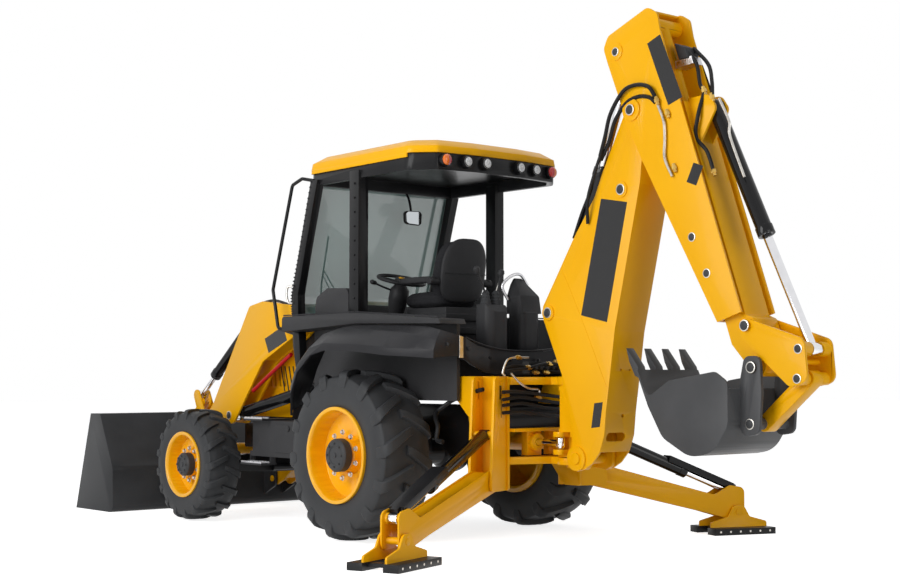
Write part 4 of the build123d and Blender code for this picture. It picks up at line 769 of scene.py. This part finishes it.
dressed("bonnet", yellow, 0.012)
bars = []
for z in np.arange(1.02, 1.46, 0.042):
    route = [on_skin("bonnet", (3.2, y, z), (-1, 0, 0)) + (-0.001, 0, 0) for y in np.linspace(-0.235, 0.235, 9)]
    route = [point for point in route if point[0] < 2.4]
    if len(route) > 3:
        bars.append(swept(route, 0.009, 8, 2))
made("grille", joined(*bars), moulded, "bonnet")
louvres = []
for side in (1, -1):
    for x in np.arange(1.30, 1.86, 0.06):
        route = [on_skin("bonnet", (x + 0.02 * k, side * 0.9, 1.08 + 0.07 * k), (0, -side, 0)) for k in range(4)]
        if max(abs(p[1]) for p in route) < 0.5:
            louvres.append(swept(route, 0.007, 8, 2))
made("louvres", joined(*louvres), moulded, "bonnet")
for hand, side in both_hands:
    spot = on_skin("bonnet", (3.2, side * 0.245, 1.535), (-1, 0, 0)) + (-0.012, 0, 0)
    made(f"head_lamp_{hand}", turned(lens_rows, spot, (1, 0, 0), 32), lamp_glass, "bonnet")
    made(f"head_lamp_ring_{hand}", turned(ring_rows, spot, (1, 0, 0), 32), black_paint, "bonnet")

# ---------------------------------------------------------------- loader
# Welded yellow arms swing from pins in the towers; black rams with chromed rods lift them and tilt the grey bucket
# through a lever and a link each side.  Each pin is a dark head in a steel ring.
vinyl = finish("vinyl", (0.012, 0.012, 0.013), (0.009, 0.009, 0.010), (0.2, 0.3), 20, 1.2, 400, 0.05,
               coat=0.6)
red_paint = finish("red_paint", (0.55, 0.010, 0.012), (0.40, 0.006, 0.008), (0.3, 0.45), 8, 1.5, 400,
                   0.1)
dressed("loader_arms", yellow, 0.004)
for node in ("tilt_levers", "tilt_links"):
    dressed(node, yellow, 0.003)
for node in ("lift_ram_barrels", "tilt_ram_barrels"):
    dressed(node, gloss_black, 0.003)
for node in ("lift_ram_rods", "tilt_ram_rods"):
    dressed(node, rod_chrome, 0.002)
dressed("loader_bucket", bucket_paint, 0.003)


def pins(name, body, node, spots, radius=0.032):
    """A steel ring with a black domed head at each spot (x, z) on both sides of a solid, seated on its surface."""
    heads, rims = [], []
    for x, z in spots:
        for side in (1, -1):
            seat = on_skin(node, at(x, side * 1.3, z), (0, -side, 0))
            if abs(seat[1]) > 1.25:
                continue
            heads.append(turned([(-0.002, radius * 0.8), (0.006, radius * 0.8), (0.010, radius * 0.55), (0.011, 0)],
                                seat, (0, side, 0), 24))
            rims.append(turned([(-0.002, radius), (0.004, radius), (0.005, radius * 0.82), (-0.002, radius * 0.82)],
                               seat, (0, side, 0), 24))
    made(f"{name}_pin_heads", joined(*heads), grey_paint, body)
    made(f"{name}_pin_rims", joined(*rims), steel, body)


pins("arm", "loader_arms", "loader_arms", ((1.180, 1.690), (2.205, 0.872), (2.620, 0.700), (3.105, 0.240)), 0.036)
for hand, side in both_hands:
    outline = [on_skin("loader_arms", at(x, side * 1.3, z), (0, -side, 0)) for x, z in
               ((1.33, 1.50), (1.60, 1.40), (1.66, 1.52), (1.39, 1.62))]
    made(f"arm_panel_{hand}", slab([p + (0, side * 0.0002, 0) for p in outline], (0, side * 0.001, 0)), vinyl,
         "loader_arms")
    y = side * 0.625
    strut = swept([at(1.27, y, 1.385), at(1.55, y, 1.235), at(1.83, y, 1.085)], 0.017, 12)
    made(f"safety_strut_{hand}", strut, red_paint, "loader_arms")
    hose = swept([at(1.33, y * 0.93, 1.79), at(1.60, y * 0.93, 1.84), at(1.84, y * 0.93, 1.80),
                  at(1.95, y * 0.93, 1.70)], 0.011)
    made(f"tilt_hose_{hand}", hose, tyre_rubber, "loader_arms")
cutting_edge = slab([at(3.80, -1.16, 0.016), at(3.932, -1.16, 0.008), at(3.932, 1.16, 0.008), at(3.80, 1.16, 0.016)],
                    (0, 0, 0.004))
made("cutting_edge", cutting_edge, tread_steel, "loader_bucket")

# ---------------------------------------------------------------- rear frame
# The yellow box frame carries the swing rams.  Hoses run across it in four rows behind a black guard plate, with
# steel pipes and brass fittings above them.
brass = finish("brass", (0.62, 0.42, 0.12), (0.45, 0.28, 0.07), (0.25, 0.4), 20, 2.0, 300, 0.1,
               metallic=1.0)


def piped(name, body, routes, material=hose_rubber, radius=0.011):
    """Round hoses or pipes through the given points of the machine frame, as one piece."""
    shape = joined(*[swept([at(*p) for p in route], radius, 10) for route in routes])
    made(name, shape, material, body)


rows = (((.47, 1.094), (.336, 1.096), (.106, 1.077), (-.1, 1.055)),
        ((.469, 1.042), (.308, 1.057), (.106, 1.035), (-.1, 1.01)),
        ((.469, 1.001), (.279, 1.013), (.077, .982), (-.1, .97)),
        ((.469, .95), (.279, .953), (.077, .93), (-.1, .919)))
piped("frame_hoses", "chassis", [[(-1.12, y, z) for y, z in row] + [(-1.10, -0.25, row[-1][1] - 0.01),
                                                                    (-1.06, -0.40, row[-1][1])]
                                 for row in rows], radius=0.013)
piped("frame_dark_pipe", "chassis", [[(-1.10, y, z) for y,
                                      z in ((.417, 1.243), (.318, 1.254), (.204, 1.265), (.087, 1.287),
                                                              (-.015, 1.299), (-.15, 1.289))],
                                     [(-1.085, y, z + 0.045) for y,
                                      z in ((.417, 1.215), (.318, 1.235), (.15, 1.225), (-.05, 1.20),
                                                                      (-.2, 1.21))]], radius=0.012)
piped("frame_pipes", "chassis", [[(-1.10, y, z) for y,
                                  z in ((.204, 1.339), (.354, 1.337), (.417, 1.31), (.452, 1.232), (.431, 1.212))],
                                 [(-1.12, y, z) for y,
                                  z in ((.393, 1.228), (.308, 1.161), (.222, 1.119), (.121, 1.108), (.128, 1.045))]],
      steel, 0.008)
fitting_rows = [(-0.03, 0), (-0.03, 0.012), (-0.012, 0.012), (-0.012, 0.018), (0.012, 0.018), (0.012, 0.012),
                (0.03, 0.012), (0.03, 0)]
spots = ((-1.1, .131, 1.234), (-1.1, .029, 1.235), (-1.1, -.001, 1.295), (-1.1, -.08, 1.31), (-1.1, -.15, 1.30),
         (-1.1, .204, 1.268), (-1.12, .128, 1.055), (-1.1, .30, 1.338))
made("frame_fittings", joined(*[turned(fitting_rows, at(*p), (0, 1, 0.15), 6) for p in spots]), brass, "chassis")
made("valve_block", joined(slab([at(-1.06, y, z) for y,
                                 z in ((-.20, 1.225), (.16, 1.225), (.16, 1.31), (-.20, 1.31))], (0.07, 0, 0)),
                           *[turned([(0, 0.016), (0.05, 0.016), (0.055, 0.012), (0.055, 0)], at(-1.06, y, 1.268),
                                    (-1, 0, 0), 6)
                             for y in (-.16, -.10, -.04, .02, .08, .13)]), iron, "chassis", 0.004)
for hand, side in both_hands:
    plate = slab([at(-1.075, side * y, z) for y, z in ((.44, .913), (.48, .913), (.48, 1.14), (.44, 1.14))],
                 (0.006, 0, 0))
    made(f"frame_guard_{hand}", plate, black_paint, "chassis", 0.002)
    piped(f"leg_hose_{hand}", "chassis", [[(-1.001, side * .55, 1.113), (-.86, side * .55, 1.086),
                                           (-.70, side * .57, 1.035),
                                           (-.60, side * .63, .955), (-.66, side * .70, .905),
                                           (-.72, side * .73, .85),
                                           (-.732, side * .75, .76), (-.80, side * .75, .745)]], radius=0.016)

# ---------------------------------------------------------------- boom and dipper
# Deep welded box sections in yellow with dark pins, a blank black panel on each flank, hoses looping over the
# dipper pivot, a steel pipe down the dipper and a valve on its head.
for node in ("boom", "dipper", "dipper_slide", "slide_ram_barrel", "bucket_lever", "bucket_link"):
    dressed(node, yellow, 0.004)
for node in ("boom_ram_barrel", "dipper_ram_barrel", "bucket_ram_barrel"):
    dressed(node, gloss_black, 0.003)
for node in ("boom_ram_rod", "dipper_ram_rod", "bucket_ram_rod", "swing_rod_left", "swing_rod_right"):
    dressed(node, rod_chrome, 0.002)
pins("boom", "boom", "boom", ((-1.532, 0.636), (-1.255, 1.656), (-1.965, 2.470), (-2.085, 2.994), (-1.90, 1.25)),
     0.038)
pins("dipper", "dipper", "dipper", ((-1.945, 3.412), (-2.40, 3.50), (-2.60, 2.10), (-2.72, 1.86)), 0.030)
pins("slide", "dipper_slide", "dipper_slide", ((-3.009, 1.520), (-3.079, 1.260)), 0.036)
for node, name, corners in (
        ("boom", "boom_panel", ((-1.775, 2.424), (-2.017, 2.380), (-1.824, 1.574), (-1.578, 1.628))),
        ("dipper", "dipper_panel", ((-2.229, 3.422), (-2.343, 3.465), (-2.531, 3.020), (-2.409, 2.982))),
        ("boom", "boom_label", ((-1.70, 1.02), (-1.78, 1.03), (-1.75, 0.86), (-1.67, 0.85))),
        ("dipper", "dipper_label", ((-2.56, 2.46), (-2.64, 2.43), (-2.70, 2.55), (-2.62, 2.58)))):
    for hand, side in both_hands:
        outline = [on_skin(node, at(x, side * 1.3, z), (0, -side, 0)) for x, z in corners]
        level = side * min(abs(p[1]) for p in outline)
        outline = [(p[0], level + side * 0.0002, p[2]) for p in outline]
        made(f"{name}_{hand}", slab(outline, (0, side * 0.001, 0)), vinyl, node)
piped("pivot_hose", ("boom", "dipper", tuple(at(-1.87, .2, 2.84)), tuple(at(-2.30, .2, 3.06))),
      [[(x, .200, z) for x, z in ((-1.816, 2.71), (-1.863, 2.836), (-1.91, 2.978), (-1.995, 3.091), (-2.071, 3.143),
                                  (-2.176, 3.15),
                                 (-2.265, 3.12), (-2.308, 3.064), (-2.315, 3.047))],
       [(x, .175, z - .035) for x, z in ((-1.80, 2.72), (-1.875, 2.836), (-1.93, 2.97), (-2.01, 3.06), (-2.08, 3.10),
                                         (-2.17, 3.11),
                                        (-2.25, 3.09), (-2.30, 3.05))]], radius=0.014)
piped("boom_hose", "boom", [[(-1.816, .20, 2.71), (-1.76, .205, 2.58), (-1.70, .205, 2.42), (-1.66, .165, 2.26)],
                            [(x, .06, z) for x, z in ((-1.60, 2.56), (-1.585, 2.50), (-1.50, 2.35), (-1.42, 2.18))],
                            [(x, -.06, z) for x, z in ((-1.60, 2.56), (-1.585, 2.50), (-1.50, 2.35), (-1.42, 2.18))]],
      radius=0.012)
piped("dipper_pipe", "dipper", [[(x, .190, z) for x, z in ((-2.335, 2.99), (-2.385, 2.874), (-2.392, 2.752),
                                                           (-2.391, 2.632),
                                                         (-2.455, 2.505))]], steel, 0.010)
spots = ((-2.33, .195, 3.02), (-2.414, .186, 2.925), (-2.47, .186, 2.56), (-2.619, .06, 3.062), (-2.688, .06, 3.009),
         (-2.726, .10, 2.519))
made("dipper_fittings", joined(*[turned(fitting_rows, at(*p), (-0.35, 0, -1), 6) for p in spots]), brass, "dipper")
piped("dipper_hoses", "dipper", [
    [(-2.44, .03, 3.37), (-2.53, .03, 3.26), (-2.578, .05, 3.112), (-2.619, .06, 3.062)],
    [(-2.46, -.03, 3.38), (-2.59, -.02, 3.25), (-2.66, .03, 3.12), (-2.688, .06, 3.009)],
    [(-2.619, .06, 3.05), (-2.60, .10, 2.90), (-2.583, .10, 2.761), (-2.672, .10, 2.653), (-2.726, .10, 2.519)]],
      radius=0.013)
cover = slab([at(x, -0.06, z) for x, z in ((-2.36, 3.42), (-2.46, 3.38), (-2.49, 3.30), (-2.40, 3.30))], (0, 0.12, 0))
made("valve_cover", cover, moulded, "dipper", 0.010)
base = slab([at(x, -0.05, z) for x, z in ((-2.36, 3.30), (-2.50, 3.315), (-2.52, 3.26), (-2.37, 3.245))],
            (0, 0.10, 0))
made("valve_base", base, tread_steel, "dipper", 0.004)
piped("bucket_ram_pipe", "bucket_ram", [[(x, .072, z) for x, z in ((-2.752, 2.991), (-2.832, 2.831), (-2.838, 2.734),
                                                                  (-2.95, 2.46))]], steel, 0.009)
weld = swept([on_skin("boom", at(x, 1.3, z), (0, -1, 0)) for x,
              z in ((-1.388, 1.957), (-1.576, 1.611), (-1.813, 1.135))], 0.003, 6)
made("boom_weld", weld, yellow, "boom")

# ---------------------------------------------------------------- digging bucket
# A rolled grey shell with forged teeth, hung from the dipper by two dark pins in steel rings.
cheek_paint = finish("cheek_paint", (0.082, 0.083, 0.086), (0.056, 0.057, 0.060), (0.3, 0.45), 3, 1.8,
                     200, 0.15)
dressed("dig_bucket", cheek_paint, 0.003)
pins("bucket", "dig_bucket", "dig_bucket", ((-3.079, 1.260), (-3.060, 0.910)), 0.034)
pins("link", "bucket_link", "bucket_link", ((-3.390, 1.190), (-3.060, 0.910)), 0.030)
pins("lever", "bucket_lever", "bucket_lever", ((-3.009, 1.520), (-3.390, 1.190), (-3.400, 1.370)), 0.030)
slide_bolts = [bolt(on_skin("dipper_slide", at(x, side * 1.3, z), (0, -side, 0)), (0, side, 0), 0.016)
               for side in (1, -1) for x, z in ((-2.790, 1.68), (-2.855, 1.66), (-2.82, 1.60))]
made("slide_bolts", joined(*slide_bolts), steel, "dipper_slide")

# ---------------------------------------------------------------- stabiliser legs
# Yellow box legs with a black ram above each; every foot stands on two rubber pads with a row of bolts along them.
pad_top = 0.051
foot_paint = yellow.copy()
foot_paint.name = "foot_paint"
foot_tree = foot_paint.node_tree
foot_shader = foot_tree.nodes["Principled BSDF"]
paint_socket = foot_shader.inputs["Base Color"].links[0].from_socket
height = foot_tree.nodes.new("ShaderNodeSeparateXYZ")
spot = foot_tree.nodes.new("ShaderNodeTexCoord")
above_pad = foot_tree.nodes.new("ShaderNodeMath")
above_pad.operation = "GREATER_THAN"
above_pad.inputs[1].default_value = pad_top
pad_mix = foot_tree.nodes.new("ShaderNodeMixRGB")
pad_mix.inputs["Color1"].default_value = (0.018, 0.018, 0.019, 1)
foot_tree.links.new(spot.outputs["Object"], height.inputs[0])
foot_tree.links.new(height.outputs["Z"], above_pad.inputs[0])
foot_tree.links.new(above_pad.outputs[0], pad_mix.inputs["Fac"])
foot_tree.links.new(paint_socket, pad_mix.inputs["Color2"])
foot_tree.links.new(pad_mix.outputs[0], foot_shader.inputs["Base Color"])
for hand in ("left", "right"):
    foot = np.array([v.co for v in nodes[f"foot_{hand}"].data.vertices])
    sole = foot[foot[:, 2] < 0.02]
    long_way = np.linalg.svd(sole[:, :2] - sole[:, :2].mean(0), full_matrices=False)[2]
    middle, spread = sole[:, :2].mean(0), (sole[:, :2] - sole[:, :2].mean(0)) @ long_way.T
    rims = []
    for edge_side in (-1, 1):
        second = spread[:, 1].max() if edge_side > 0 else spread[:, 1].min()
        for step in np.linspace(spread[:, 0].min() + 0.05, spread[:, 0].max() - 0.05, 6):
            spot = np.append(middle + long_way[0] * step + long_way[1] * (second - edge_side * 0.012), 0.026)
            rims.append(bolt(spot, (*(long_way[1] * edge_side), 0), 0.011))
    made(f"pad_bolts_{hand}", joined(*rims), steel, f"foot_{hand}")
    dressed(f"leg_{hand}", yellow, 0.004)
    dressed(f"foot_{hand}", foot_paint, 0.003)
    dressed(f"leg_ram_barrel_{hand}", gloss_black, 0.003)
    rod = dressed(f"leg_ram_rod_{hand}", rod_chrome, 0.002)
    barrel = np.array([v.co for v in nodes[f"leg_ram_barrel_{hand}"].data.vertices])
    barrel_centre = (barrel.min(0) + barrel.max(0)) / 2
    barrel_axis = np.linalg.svd(barrel - barrel.mean(0), full_matrices=False)[2][0]
    rod.data.materials.append(black_paint)
    reach = np.array([f.center for f in rod.data.polygons]) - barrel_centre
    off_axis = np.linalg.norm(reach - (reach @ barrel_axis)[:, None] * barrel_axis, axis=1)
    rod.data.polygons.foreach_set("material_index", (off_axis > 0.040).astype(np.int32))
